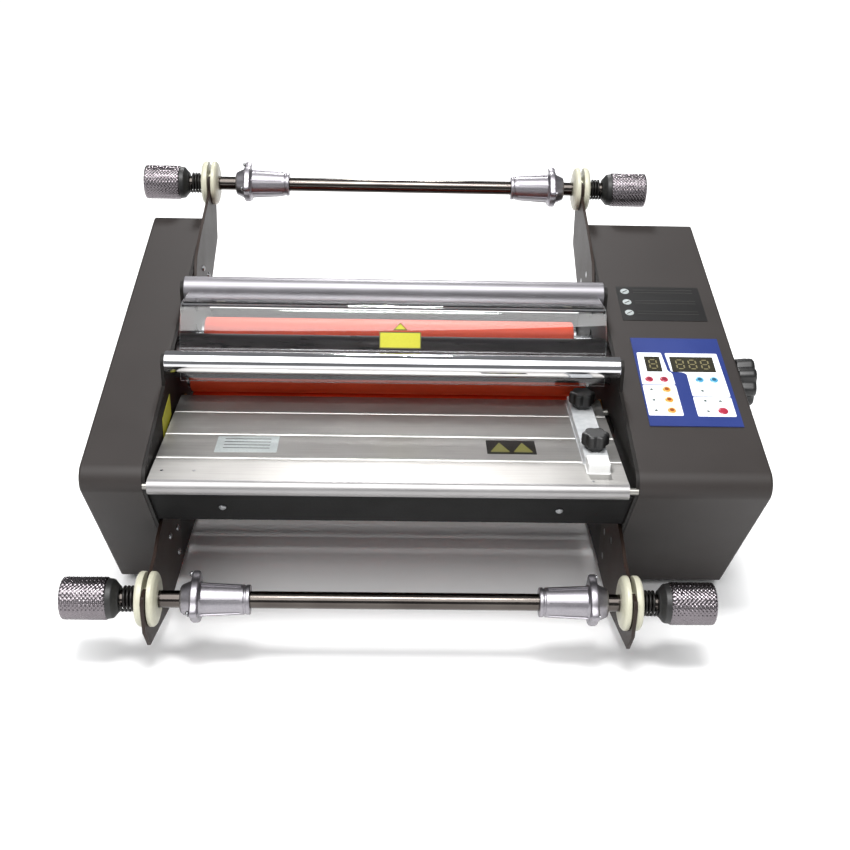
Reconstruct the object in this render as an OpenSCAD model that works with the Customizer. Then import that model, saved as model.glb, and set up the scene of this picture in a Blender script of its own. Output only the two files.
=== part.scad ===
// Desktop roll laminator with two film shafts, four covered rollers and a slide-out feed table.
// Frame: millimetres, X to the operator's right, Y to the back, Z up. The operator stands at -Y.
// The origin is under the middle of the overall outline, on the bench.

/* [Casings] */
// Width of the slim left casing
left_w = 54; // [48:1:60]
// Width of the right casing that carries the control panel
right_w = 117; // [112:1:125]
// Clear width between the two casings
gap_w = 429; // [426:1:440]
// Depth of a casing from its front bend to its back
casing_d = 400; // [396:1:420]
// Height of the front bend above the underside of the casing
front_h = 167; // [165:1:170]
// Height of the back edge above the underside of the casing
rear_h = 280; // [278:1:290]
// How far the bottom front edge lies behind the front bend
undercut = 111; // [105:1:115]
// Thickness of the casing sheet
sheet_t = 2; // [1.6:0.2:2]
// Outer radius of the front bend
bend_r = 16; // [12:1:20]
// Height of the rubber feet
foot_h = 10; // [8:1:14]

/* [Frame] */
// Thickness of the steel side plates and shaft brackets
plate_t = 3; // [2.5:0.5:3]
// Radius of the tie rods
tie_r = 6; // [5:1:7]

/* [Rollers] */
// Radius over the silicone cover
roller_r = 19.8; // [18:0.1:19.8]
// Length of the silicone cover
cover_len = 392; // [388:1:396]
// Radius of the roller journals
journal_r = 6; // [5:0.5:6]
// Height of the web path above the underside of the casings
nip_z = 160; // [158:1:162]
// Distance of the heated pair behind the front bend
front_nip_y = 204; // [203:1:205]
// Distance of the pull pair behind the front bend
rear_nip_y = 301; // [300:1:302]
// Travel that opens both nips
nip_lift = 6; // [4:0.5:6]

/* [Film shafts] */
// Radius of the film shafts
shaft_r = 7.5; // [7:0.5:8]
// Half of the overall length over the tension knobs
shaft_half = 283.5; // [283:0.5:290]
// Distance of the upper film shaft behind the front bend
upper_y = 446; // [444:1:450]
// Height of the upper film shaft above the underside of the casings
upper_z = 308; // [306:1:312]
// Distance of the lower film shaft behind the front bend
lower_y = -22; // [-24:1:-20]
// Height of the lower film shaft above the underside of the casings
lower_z = 63; // [60:1:66]
// Radius of the bush flanges
bush_r = 24; // [22:1:24]
// Radius of the tension knobs
tension_knob_r = 19; // [17:0.5:20]
// Radius of the part of a chuck that grips the film core
chuck_r = 12.7; // [12:0.1:13]
// Length of a chuck from its hub face to its lip
chuck_len = 60; // [55:1:62]

/* [Feed table] */
// Height of the table surface above the underside of the casings
table_z = 163.5; // [163:0.5:164]
// Distance of the table's back edge behind the front bend
table_back = 184; // [182:1:185]
// Distance between the ridges of the table planks
plank_pitch = 47; // [46:1:48]
// Across position of the edge guide
guide_x = 182; // [120:1:184]

/* [Control panel] */
// Width of the printed overlay
overlay_w = 86; // [84:1:88]
// Depth of the printed overlay, measured level
overlay_d = 125; // [122:1:128]
// Radius of the panel keys
key_r = 4; // [3.5:0.25:4.25]
// Travel of the panel keys
key_travel = 0.5; // [0.3:0.1:0.8]

/* [Hidden] */
$fn = 48;
eps = 0.01;
fit = 0.06;
half_gap = gap_w / 2;
plate_in = half_gap - plate_t;
bracket_in = plate_in - plate_t;
right_wall = half_gap + right_w;
left_wall = half_gap + left_w;
knob_proud = 20;
slope = (rear_h - front_h) / casing_d;
top_angle = atan(slope);
front_angle = atan(undercut / front_h);
origin_x = (right_wall + knob_proud - shaft_half) / 2;
horn_reach = 27;
origin_y = (lower_y - horn_reach + upper_y + bush_r) / 2;

// Cross bars between the side plates
idler_y = 130;
idler_z = 222;
idler_r = 10.5;
guard_y = 248;
guard_z = 252;
guard_bar_r = 12;
lug_r = 8;
lug_neck = 16;
pin_r = 2.5;
tie_at = [[140, 60], [240, 40], [385, 60], [385, 130]];

// Gear train: tooth module and tooth counts
gear_m = 2;
roller_teeth = 20;
transfer_teeth = 30;
motor_teeth = 12;

// Roller axes
roller_dz = gear_m * roller_teeth / 2;
upper_axis_z = nip_z + roller_dz;
lower_axis_z = nip_z - roller_dz;
cover_mid = -5;
core_r = 16;
gear_x = half_gap + 9.5;
gear_w = 10;
roller_end = gear_x + gear_w + 2;
bearing_r = 11;
lift_x = half_gap + 1.5;
lift_t = 4;
lift_bar_r = 5;
nip_mid_y = (front_nip_y + rear_nip_y) / 2;

// Gear train, seen from the right-hand end
roller_pitch = gear_m * roller_teeth / 2;
transfer_pitch = gear_m * transfer_teeth / 2;
motor_pitch = gear_m * motor_teeth / 2;
transfer_drop = sqrt(pow(roller_pitch + transfer_pitch, 2) - pow((rear_nip_y - front_nip_y) / 2, 2));
transfer_z = lower_axis_z - transfer_drop;
motor_z = transfer_z - transfer_pitch - motor_pitch;
stub_r = 5;
motor_shaft_r = 4;
motor_r = 30;
motor_face = half_gap + 25.5;
mount_r = 40;

// Pressure knob and its cam
pressure_y = 174;
pressure_z = 190;
pressure_r = 25;
cam_r = 7;
cam_gap = 1.7;

// Film shaft stations, measured from the middle of the gap
bush_in = bracket_in - 8;
bush_out = half_gap + 5;
groove_r = 10;
groove_in = bracket_in - 0.5;
groove_out = plate_in + 0.5;
spring_end = bush_out + 14.5;
cone_len = 10;
knob_start = spring_end + cone_len;
left_chuck_x = 181.5;
right_chuck_x = 190;
coil_r = 10.3;
wire_r = 1.2;

// Feed table
table_left = -(half_gap - 5);
table_right = half_gap - 9;
nose_r = 7;
nose_y = 11;
table_skin = 4;
table_pin_z = table_z - nose_r;
table_pin_r = 3;
back_pin_y = 170;
table_travel = 40;

// Control panel stations on the sloping top of the right casing
overlay_x = half_gap + 61.5;
overlay_y = 138;
overlay_t = 0.8;
key_cols = [242.2, 256.4, 290.3, 304];
key_rows = [139, 124.7, 110.4, 96];
window_y = 161;
window_d = 23;
window_deep = 5;
small_window_x = 249.5;
small_window_w = 15;
large_window_x = 287.6;
large_window_w = 42;
board_down = 6;
board_t = 1.6;

// Rear connector
inlet_x = 290;
inlet_z = 50;
switch_x = 252;

// Screw places: [y, z] on the brackets and side plates
lower_screws = [[109, 56], [74, 68], [107, 30]];
upper_screws = [[346, 240], [376, 222], [330, 222]];
screw_r = 2;
head_r = 3.4;
head_t = 2;

// ---- helpers ----

// Carries machine coordinates into the part's own frame
module place() {
    translate([-origin_x, -origin_y, foot_h]) children();
}

// Extrudes a [y, z] outline along X
module xslab(x0, x1) {
    translate([x0, 0, 0]) rotate([90, 0, 90]) linear_extrude(x1 - x0) children();
}

// Round bar along X
module xrod(y, z, x0, x1, r) {
    translate([x0, y, z]) rotate([0, 90, 0]) cylinder(r = r, h = x1 - x0);
}

module both_sides() {
    children();
    mirror([1, 0, 0]) children();
}

// Casing outline in [y, z], inset by t
function bend_y(t) = t * (tan(front_angle) / cos(top_angle) + 1 / cos(front_angle))
    / (1 + slope * tan(front_angle));
function top_z(y, t) = front_h + slope * y - t / cos(top_angle);
function front_y(z, t) = undercut - tan(front_angle) * z + t / cos(front_angle);
bend_steps = 12;
function casing_outline(t) = concat(
    [for (i = [0:bend_steps])
        let (a = 90 + top_angle + i * (90 + front_angle - top_angle) / bend_steps)
        [bend_y(bend_r) + (bend_r - t) * cos(a), top_z(bend_y(bend_r), bend_r) + (bend_r - t) * sin(a)]],
    [[front_y(t, t), t], [casing_d - t, t], [casing_d - t, top_z(casing_d - t, t)]]);

// Stands children on the sloping top, with local Y up the slope and local Z out of it
module on_top(x, y) {
    translate([x, y, top_z(y, 0)]) rotate([top_angle, 0, 0]) children();
}

// Spur gear outline: n teeth, first tooth centred at angle phase
tooth_half = 0.2 * PI * gear_m;
addendum = 0.8 * gear_m;
dedendum = 1.1 * gear_m;
function half_angle(r, pitch) = (tooth_half - (r - pitch) * tan(20)) / r * 180 / PI;
function gear_outline(n, phase) = let (p = gear_m * n / 2, tip = p + addendum, root = p - dedendum)
    [for (i = [0:n - 1]) let (a = phase + i * 360 / n)
        each [for (e = [[root, -half_angle(root, p)], [tip, -half_angle(tip, p)],
                [tip, half_angle(tip, p)], [root, half_angle(root, p)]])
            [e[0] * cos(a + e[1]), e[0] * sin(a + e[1])]]];
// Phase that meshes a gear of n_b teeth with one of n_a teeth lying at angle dir
function wrap(a, p) = a - p * floor(a / p + 0.5);
function mesh_phase(phase_a, n_a, n_b, dir) =
    dir + 180 - wrap(phase_a - dir, 360 / n_a) * n_a / n_b + 180 / n_b;
fwd_dir = atan2(-transfer_drop, (rear_nip_y - front_nip_y) / 2);
front_lower_phase = 0;
front_upper_phase = mesh_phase(front_lower_phase, roller_teeth, roller_teeth, 90);
transfer_phase = mesh_phase(front_lower_phase, roller_teeth, transfer_teeth, fwd_dir);
rear_lower_phase = mesh_phase(transfer_phase, transfer_teeth, roller_teeth, -fwd_dir);
rear_upper_phase = mesh_phase(rear_lower_phase, roller_teeth, roller_teeth, 90);
motor_phase = mesh_phase(transfer_phase, transfer_teeth, motor_teeth, -90);

module spur_gear(y, z, n, phase, bore) {
    difference() {
        xslab(gear_x, gear_x + gear_w) translate([y, z]) polygon(gear_outline(n, phase));
        xrod(y, z, gear_x - 1, gear_x + gear_w + 1, bore);
    }
}

// Round-headed screw along X with its head towards -X, seated at x
module side_screw(y, z, x, shank) {
    xrod(y, z, x - head_t, x, head_r);
    xrod(y, z, x - eps, x + shank, screw_r);
}

// ---- frame ----

module plate_holes() {
    for (p = tie_at) translate(p) circle(r = tie_r);
    for (p = concat(lower_screws, upper_screws)) translate(p) circle(r = screw_r);
    for (y = [front_nip_y, rear_nip_y]) translate([y, lower_axis_z]) circle(r = bearing_r);
    for (y = [front_nip_y, rear_nip_y], z = [upper_axis_z, upper_axis_z + nip_lift])
        translate([y, z]) circle(r = journal_r + 1);
    for (y = [front_nip_y, rear_nip_y])
        translate([y - journal_r - 1, upper_axis_z]) square([2 * (journal_r + 1), nip_lift]);
    for (z = [upper_axis_z, upper_axis_z + nip_lift]) translate([nip_mid_y, z]) circle(r = lift_bar_r + 1);
    translate([nip_mid_y - lift_bar_r - 1, upper_axis_z]) square([2 * (lift_bar_r + 1), nip_lift]);
    for (p = [[idler_y, idler_z], [guard_y, guard_z]]) translate(p) circle(r = pin_r + fit);
    table_slots();
}

// Slots that the feed table slides out on
module table_slots() {
    for (y = [back_pin_y - table_travel, back_pin_y]) translate([y, table_pin_z]) circle(r = table_pin_r + fit);
    translate([back_pin_y - table_travel, table_pin_z - table_pin_r - fit])
        square([table_travel, 2 * (table_pin_r + fit)]);
    translate([nose_y, table_pin_z]) circle(r = table_pin_r + fit);
    translate([-nose_y, table_pin_z - table_pin_r - fit]) square([2 * nose_y, 2 * (table_pin_r + fit)]);
}

// Round ear on a neck that carries the end of a bar above the top edge of a plate
module ear(y, z) {
    hull() {
        translate([y, z]) circle(r = lug_r);
        translate([y - lug_r, z - lug_r - lug_neck]) square([2 * lug_r, 4]);
    }
}

module side_plate() {
    xslab(plate_in, half_gap) difference() {
        union() {
            polygon(casing_outline(0.5));
            ear(idler_y, idler_z);
            ear(guard_y, guard_z);
        }
        plate_holes();
    }
}

module left_side_plate() {
    color("#4a4542") place() mirror([1, 0, 0]) side_plate();
}

module right_side_plate() {
    color("#4a4542") place() {
        difference() {
            side_plate();
            xrod(pressure_y, pressure_z, plate_in - 1, half_gap + 1, stub_r + fit);
        }
        xrod(nip_mid_y, transfer_z, half_gap, gear_x + gear_w + 3, stub_r);
    }
}

module tie_rods() {
    color("silver") place() for (p = tie_at) xrod(p[0], p[1], -half_gap, half_gap, tie_r);
}

module casing(width) {
    difference() {
        xslab(half_gap, half_gap + width) polygon(casing_outline(0));
        xslab(half_gap - 1, half_gap + width - sheet_t) polygon(casing_outline(sheet_t));
    }
}

module left_casing() {
    color("#3b3633") place() mirror([1, 0, 0]) casing(left_w);
}

module right_casing() {
    color("#3b3633") place() difference() {
        casing(right_w);
        panel_cuts();
        xrod(pressure_y, pressure_z, right_wall - 2 * sheet_t, right_wall + 1, stub_r + 0.4);
        translate([inlet_x, casing_d, inlet_z]) cube([28, 3 * sheet_t, 20], center = true);
        translate([switch_x, casing_d, inlet_z]) cube([13, 3 * sheet_t, 19], center = true);
    }
}

module front_panel() {
    lip = 16;
    upper = front_h - 21;
    lower = front_h - 64;
    color("#1d1c1c") place() xslab(-plate_in, plate_in) polygon([
        [front_y(upper, 3), upper], [front_y(lower, 3), lower], [front_y(lower, 3) + lip, lower],
        [front_y(lower, 3) + lip, lower + sheet_t],
        [front_y(lower + sheet_t, 3 + sheet_t), lower + sheet_t], [front_y(upper, 3 + sheet_t), upper]]);
}

// Rear panel with the slot that the web leaves through
exit_half = 205;
exit_low = 140;
exit_high = 164;
panel_low = 14;
panel_high = 195;
module rear_panel() {
    color("#26241f") place() difference() {
        translate([-plate_in, casing_d - 4, panel_low]) cube([2 * plate_in, sheet_t, panel_high - panel_low]);
        translate([-exit_half, casing_d - 5, exit_low])
            cube([2 * exit_half, sheet_t + 2, exit_high - exit_low]);
    }
}

module idler_bar() {
    bar_half = plate_in - 0.5;
    color("gainsboro") place() {
        xrod(idler_y, idler_z, -bar_half, bar_half, idler_r);
        xrod(idler_y, idler_z, -half_gap + 0.2, half_gap - 0.2, pin_r);
    }
}

// Curved reflectors over the upper and under the lower heated roller
hood_r = 37;
module shield(axis_z, inner, from_a, to_a) {
    steps = 12;
    thick = 1.2;
    xslab(-plate_in, plate_in) polygon(concat(
        [for (i = [0:steps]) let (a = from_a + (to_a - from_a) * i / steps)
            [front_nip_y - inner * cos(a), axis_z + inner * sin(a)]],
        [for (i = [steps:-1:0]) let (a = from_a + (to_a - from_a) * i / steps)
            [front_nip_y - (inner + thick) * cos(a), axis_z + (inner + thick) * sin(a)]]));
}

module heat_shields() {
    color("#2b2a28") place() {
        shield(upper_axis_z, hood_r, 15, 150);
        shield(lower_axis_z, roller_r + 4, -20, -150);
    }
}

module heater_lamps() {
    color("ivory") place() for (z = [upper_axis_z + 8, lower_axis_z - 8])
        xrod(front_nip_y + 33, z, -plate_in, plate_in, 4);
}

module lower_bearings() {
    color("goldenrod") place() both_sides() for (y = [front_nip_y, rear_nip_y]) difference() {
        union() {
            xrod(y, lower_axis_z, plate_in - 2, plate_in, bearing_r + 3);
            xrod(y, lower_axis_z, plate_in - eps, half_gap + 3, bearing_r);
        }
        xrod(y, lower_axis_z, plate_in - 3, half_gap + 4, journal_r + fit);
    }
}

module bracket_slot(y, z) {
    translate([y, z]) circle(r = groove_r + 0.2);
    translate([y - groove_r - 0.2, z]) square([2 * groove_r + 0.4, 60]);
}

module lower_shaft_brackets() {
    color("#46362f") place() both_sides() xslab(bracket_in, plate_in) difference() {
        polygon([[52, 98], [126, 98], [128, 60], [126, 8], [46, 5], [lower_y - 14, 24],
            [lower_y - horn_reach, 46], [lower_y - horn_reach, lower_z + 12],
            [lower_y - horn_reach + 4, lower_z + 17], [lower_y - groove_r, lower_z + 17],
            [lower_y + groove_r, lower_z + 17], [12, 84], [30, 92]]);
        bracket_slot(lower_y, lower_z);
        for (p = lower_screws) translate(p) circle(r = screw_r);
    }
}

module upper_shaft_brackets() {
    color("#46362f") place() both_sides() xslab(bracket_in, plate_in) difference() {
        union() {
            polygon([[306, 206], [300, 240], [316, 263], [345, 276], [upper_y - 20, upper_z - 4],
                [upper_y - 18, upper_z + 6], [upper_y + 18, upper_z + 6], [upper_y + 20, upper_z - 10],
                [458, 240], [412, 214], [396, 206]]);
            intersection() {
                translate([upper_y, upper_z]) circle(r = 20);
                translate([upper_y - 20, upper_z - 20]) square([40, 30]);
            }
        }
        bracket_slot(upper_y, upper_z);
        for (p = upper_screws) translate(p) circle(r = screw_r);
    }
}

module frame_screws() {
    color("silver") place() {
        both_sides() for (p = concat(lower_screws, upper_screws))
            side_screw(p[0], p[1], bracket_in, 2 * plate_t);
        both_sides() panel_screw(gap_w * 0.35);
        both_sides() for (z = [20, 250])
            translate([half_gap + left_w / 2, casing_d, z]) rotate([-90, 0, 0])
                cylinder(r = head_r, h = head_t);
    }
}

// Screw head on the sloping front panel
module panel_screw(x) {
    z = front_h - 45;
    translate([x, front_y(z, 3), z]) rotate([90 + front_angle, 0, 0]) cylinder(r = head_r, h = head_t);
}

module feet() {
    color("#1a1a1a") place()
        for (x = [-half_gap - left_w / 2, half_gap + right_w / 2], y = [undercut + 34, casing_d - 34])
        translate([x, y, -foot_h]) cylinder(r1 = 15, r2 = 17, h = foot_h);
}

// ---- control panel ----

module key_hole(x, y, r) {
    on_top(x, y) translate([0, 0, -2 * sheet_t]) cylinder(r = r + 0.08, h = 4 * sheet_t);
}

module window_cut(x, w, play) {
    on_top(x, window_y) translate([-w / 2 - play, -window_d / 2 - play, -3 * sheet_t])
        cube([w + 2 * play, window_d + 2 * play, 5 * sheet_t]);
}

stop_r = key_r + 0.8;
module panel_cuts() {
    for (x = key_cols) key_hole(x, key_rows[0], key_r);
    for (y = [key_rows[1], key_rows[2], key_rows[3]]) key_hole(key_cols[1], y, key_r);
    key_hole(key_cols[3], key_rows[3], stop_r);
    window_cut(small_window_x, small_window_w, 0.1);
    window_cut(large_window_x, large_window_w, 0.1);
}

module control_overlay() {
    color("#2f4a8c") place() difference() {
        on_top(overlay_x, overlay_y) translate([-overlay_w / 2, -overlay_d / 2 / cos(top_angle), 0])
            cube([overlay_w, overlay_d / cos(top_angle), overlay_t]);
        panel_cuts();
    }
}

module display_window() {
    color("#1f2018") place() {
        for (w = [[small_window_x, small_window_w], [large_window_x, large_window_w]])
            on_top(w[0], window_y) translate([-w[1] / 2, -window_d / 2, -board_down])
                cube([w[1], window_d, board_down + overlay_t]);
    }
}

module control_board() {
    color("#1f5a34") place() on_top(overlay_x, overlay_y) {
        translate([-40, -58, -board_down - board_t]) cube([80, 116, board_t]);
        for (x = [-36, 36], y = [-54, 54]) translate([x, y, -board_down])
            cylinder(r = 3, h = board_down - sheet_t);
    }
}

// Round key that stands a little proud of the overlay
module panel_key(x, y, r, shade) {
    color(shade) place() on_top(x, y) {
        translate([0, 0, -board_down + 1.2]) cylinder(r = r, h = board_down - 1.2 + overlay_t + 0.9);
    }
}

module speed_up_key() { panel_key(key_cols[0], key_rows[0], key_r, "#c8384a"); }
module speed_down_key() { panel_key(key_cols[1], key_rows[0], key_r, "#c8384a"); }
module temperature_up_key() { panel_key(key_cols[2], key_rows[0], key_r, "#4aa3c8"); }
module temperature_down_key() { panel_key(key_cols[3], key_rows[0], key_r, "#4aa3c8"); }
module forward_key() { panel_key(key_cols[1], key_rows[1], key_r, "#e8823a"); }
module reverse_key() { panel_key(key_cols[1], key_rows[2], key_r, "#e8823a"); }
module measure_key() { panel_key(key_cols[1], key_rows[3], key_r, "#e8823a"); }
module stop_key() { panel_key(key_cols[3], key_rows[3], stop_r, "#d0303c"); }

// ---- drive and power ----

module gear_motor() {
    color("#8a8d90") place() difference() {
        union() {
            xrod(nip_mid_y, motor_z, motor_face, motor_face + 4, mount_r + 5);
            xrod(nip_mid_y, motor_z, motor_face + 4 - eps, motor_face + 34, motor_r + 4);
            xrod(nip_mid_y, motor_z, motor_face + 34 - eps, motor_face + 80, motor_r);
            for (a = [195, 270, 345])
                xrod(nip_mid_y + mount_r * cos(a), motor_z + mount_r * sin(a), half_gap, motor_face + eps, 4);
        }
        xrod(nip_mid_y, motor_z, motor_face - 1, motor_face + 9, motor_shaft_r + fit);
    }
}

module motor_gear() {
    color("#c9c9c4") place() {
        spur_gear(nip_mid_y, motor_z, motor_teeth, motor_phase, motor_shaft_r);
        xrod(nip_mid_y, motor_z, gear_x - 1, motor_face + 8, motor_shaft_r);
    }
}

module transfer_gear() {
    color("#d8d2c0") place() spur_gear(nip_mid_y, transfer_z, transfer_teeth, transfer_phase, stub_r + fit);
}

module power_inlet() {
    color("#1c1c1c") place() {
        difference() {
            union() {
                translate([inlet_x, casing_d + 1.5, inlet_z]) cube([48, 3, 28], center = true);
                translate([inlet_x, casing_d - 11, inlet_z]) cube([27.6, 22 + eps, 19.6], center = true);
            }
            translate([inlet_x, casing_d - 6, inlet_z]) cube([24.4, 18.2, 16.4], center = true);
        }
        for (x = [-7, 0, 7]) translate([inlet_x + x, casing_d - 16, inlet_z]) cube([2, 14, 5], center = true);
        difference() {
            union() {
                translate([switch_x, casing_d + 1, inlet_z]) cube([16, 2, 22], center = true);
                translate([switch_x, casing_d - 8, inlet_z]) cube([12.8, 16 + eps, 18.8], center = true);
            }
            translate([switch_x, casing_d - 4, inlet_z]) cube([10, 14, 16], center = true);
        }
    }
}

// Rocker that turns about a bar across its housing, at rest in its off position
rocker_tilt = 9;
module power_switch() {
    rocker_r = 7.4;
    rocker_w = 9.2;
    color("#a01c1c") place() translate([switch_x, casing_d - 2, inlet_z])
        rotate([-rocker_tilt, 0, 0]) intersection() {
        translate([-rocker_w / 2, 0, 0]) rotate([0, 90, 0]) cylinder(r = rocker_r, h = rocker_w);
        translate([-rocker_w, -4, -rocker_r]) cube([2 * rocker_w, 9, 2 * rocker_r]);
    }
}

// ---- film shafts ----

module bush(y, z) {
    difference() {
        union() {
            xrod(y, z, bush_in, groove_in, bush_r);
            xrod(y, z, groove_in - eps, groove_out + eps, groove_r);
            xrod(y, z, groove_out, bush_out, bush_r);
        }
        xrod(y, z, bush_in - 1, bush_out + 1, shaft_r + fit);
    }
}

module shaft_bushes() {
    color("#e8e6da") place() both_sides() {
        bush(upper_y, upper_z);
        bush(lower_y, lower_z);
    }
}

// Coil spring as one swept tube along X
coil_turns = 4;
coil_steps = 16;
coil_sides = 6;
spring_gap = 0.4;
function coil_point(x0, len, i) = let (n = coil_turns * coil_steps, a = 360 * i / coil_steps)
    [x0 + len * i / n, coil_r * cos(a), coil_r * sin(a)];
function coil_ring(x0, len, i) = let (a = 360 * i / coil_steps, p = coil_point(x0, len, i))
    [for (k = [0:coil_sides - 1]) let (b = 360 * k / coil_sides)
        p + wire_r * [sin(b), cos(b) * cos(a), cos(b) * sin(a)]];
module coil(y, z) {
    x0 = bush_out + wire_r + spring_gap;
    len = spring_end - bush_out - 2 * (wire_r + spring_gap);
    n = coil_turns * coil_steps;
    pts = [for (i = [0:n]) each coil_ring(x0, len, i)];
    sides = [for (i = [0:n - 1], k = [0:coil_sides - 1]) let (a = i * coil_sides + k,
        b = i * coil_sides + (k + 1) % coil_sides) [b, a, a + coil_sides, b + coil_sides]];
    caps = [[for (k = [0:coil_sides - 1]) k], [for (k = [coil_sides - 1:-1:0]) n * coil_sides + k]];
    translate([0, y, z]) polyhedron(points = pts, faces = concat(sides, caps));
}

module tension_springs() {
    color("#222222") place() both_sides() {
        coil(upper_y, upper_z);
        coil(lower_y, lower_z);
    }
}

module film_shaft(y, z) {
    color("#6b6460") place() {
        xrod(y, z, -knob_start, knob_start, shaft_r);
        xrod(y, z, -shaft_half + 8, shaft_half - 8, stub_r);
    }
}

module upper_film_shaft() { film_shaft(upper_y, upper_z); }
module lower_film_shaft() { film_shaft(lower_y, lower_z); }

// Core chuck with its hub face at x, reaching towards -X
module chuck(y, z, x) {
    hub = 9.5;
    flange = 8;
    difference() {
        union() {
            translate([x - hub, y, z]) rotate([0, 90, 0]) cylinder(r1 = 16, r2 = 12.5, h = hub);
            xrod(y, z, x - hub - flange, x - hub + eps, 21.5);
            translate([x - hub - flange - 8, y, z]) rotate([0, 90, 0])
                cylinder(r1 = chuck_r, r2 = 16, h = 8 + eps);
            xrod(y, z, x - chuck_len, x - hub - flange, chuck_r);
            for (a = [90, 210, 330]) translate([x - hub - flange / 2, y, z]) rotate([a, 0, 0])
                translate([0, 0, 9]) cylinder(r = 3, h = 16);
        }
        xrod(y, z, x - chuck_len - 1, x + 1, shaft_r + fit);
        difference() {
            xrod(y, z, x - chuck_len + 3, x - chuck_len + 5, chuck_r + 1);
            xrod(y, z, x - chuck_len + 2, x - chuck_len + 6, chuck_r - 0.8);
        }
    }
}

chuck_shade = "#a9a9a8";
module upper_left_chuck() {
    color(chuck_shade) place() mirror([1, 0, 0]) chuck(upper_y, upper_z, left_chuck_x);
}
module upper_right_chuck() {
    color(chuck_shade) place() chuck(upper_y, upper_z, right_chuck_x);
}
module lower_left_chuck() {
    color(chuck_shade) place() mirror([1, 0, 0]) chuck(lower_y, lower_z, left_chuck_x);
}
module lower_right_chuck() {
    color(chuck_shade) place() chuck(lower_y, lower_z, right_chuck_x);
}

// Knurled knob with a dark cone that presses on the spring
module tension_knob(y, z) {
    difference() {
        union() {
            translate([spring_end, y, z]) rotate([0, 90, 0])
                cylinder(r1 = 12, r2 = tension_knob_r - 1, h = cone_len + eps);
            xrod(y, z, knob_start, shaft_half, tension_knob_r);
        }
        xrod(y, z, spring_end - 1, knob_start + 0.3, shaft_r + fit);
        xrod(y, z, knob_start - 1, shaft_half - 7, stub_r + fit);
    }
}

knob_shade = "#b5b4b8";
module upper_left_tension_knob() {
    color(knob_shade) place() mirror([1, 0, 0]) tension_knob(upper_y, upper_z);
}
module upper_right_tension_knob() {
    color(knob_shade) place() tension_knob(upper_y, upper_z);
}
module lower_left_tension_knob() {
    color(knob_shade) place() mirror([1, 0, 0]) tension_knob(lower_y, lower_z);
}
module lower_right_tension_knob() {
    color(knob_shade) place() tension_knob(lower_y, lower_z);
}

// ---- guard ----

lens_t = 3;
lens_half = 204;
lens_lip = [157.5, 190.5];
lens_top = [181, 253];
face_r = 150;
lens_bend = 12;
lens_steps = 12;
groove_deep = 6;
lens_chord = lens_top - lens_lip;
face_mid = 90 + atan2(lens_chord[1], lens_chord[0]);
face_spread = asin(norm(lens_chord) / 2 / face_r);
face_low = face_mid + face_spread;
face_high = face_mid - face_spread;
face_at = lens_lip - face_r * [cos(face_low), sin(face_low)];
bend_at = lens_top - lens_bend * [cos(face_high), sin(face_high)];
to_bar = [guard_y, guard_z] - bend_at;
entry_angle = atan2(to_bar[1], to_bar[0]) - asin(lens_bend / norm(to_bar));
lens_end = [guard_y, guard_z] - (guard_bar_r - groove_deep) * [cos(entry_angle), sin(entry_angle)];
// Arc points about a centre from angle a0 to a1
function arc(c, r, a0, a1) = [for (i = [0:lens_steps]) let (a = a0 + (a1 - a0) * i / lens_steps)
    c + r * [cos(a), sin(a)]];
function lens_tail(off) = lens_end + off * [-sin(entry_angle), cos(entry_angle)];

module guard_lens() {
    color("#d8e4e8", 0.4) place() xslab(-lens_half, lens_half) polygon(concat(
        arc(face_at, face_r, face_low, face_high),
        arc(bend_at, lens_bend, face_high, 90 + entry_angle),
        [lens_tail(0)], [lens_tail(-lens_t)],
        arc(bend_at, lens_bend - lens_t, 90 + entry_angle, face_high),
        arc(face_at, face_r - lens_t, face_high, face_low)));
}

module guard_bar() {
    bar_half = plate_in - 1;
    color("gainsboro") place() {
        difference() {
            xrod(guard_y, guard_z, -bar_half, bar_half, guard_bar_r);
            translate([-lens_half - 0.1, 0, 0]) translate([0, lens_end[0], lens_end[1]])
                rotate([entry_angle, 0, 0]) translate([0, -20, -lens_t - 0.1])
                cube([2 * lens_half + 0.2, 20.2, lens_t + 0.2]);
        }
        both_sides() xrod(guard_y, guard_z, bar_half - eps, half_gap - 0.2, pin_r);
    }
}

// ---- feed table ----

module table_outline() {
    difference() {
        union() {
            translate([nose_y, table_pin_z]) circle(r = nose_r);
            translate([nose_y, table_z - table_skin]) square([table_back - nose_y, table_skin]);
            translate([nose_y, table_z - 2 * nose_r]) square([8, 2 * nose_r]);
            for (i = [1:3]) translate([ridge_y(i) - 2, table_z - 11]) square([4, 11]);
        }
        for (i = [1:3]) translate([ridge_y(i) - 1.5, table_z - 0.8]) square([3, 2]);
    }
}

first_ridge = 53;
function ridge_y(i) = first_ridge + (i - 1) * plank_pitch;

// Full-depth cheek that closes each end of the table
module table_cheek() {
    translate([nose_y + 2, table_z - 2 * nose_r]) square([back_pin_y + 2 - nose_y, 2 * nose_r - 1]);
}

module feed_table() {
    color("#9c9a97") place() {
        xslab(table_left, table_right) table_outline();
        xslab(table_left, table_left + 4) table_cheek();
        xslab(table_right - 4, table_right) table_cheek();
    }
}

module table_pins() {
    color("silver") place() for (y = [nose_y, back_pin_y]) {
        xrod(y, table_pin_z, table_right, half_gap - 0.5, table_pin_r);
        xrod(y, table_pin_z, -half_gap + 0.5, table_left, table_pin_r);
    }
}

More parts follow.
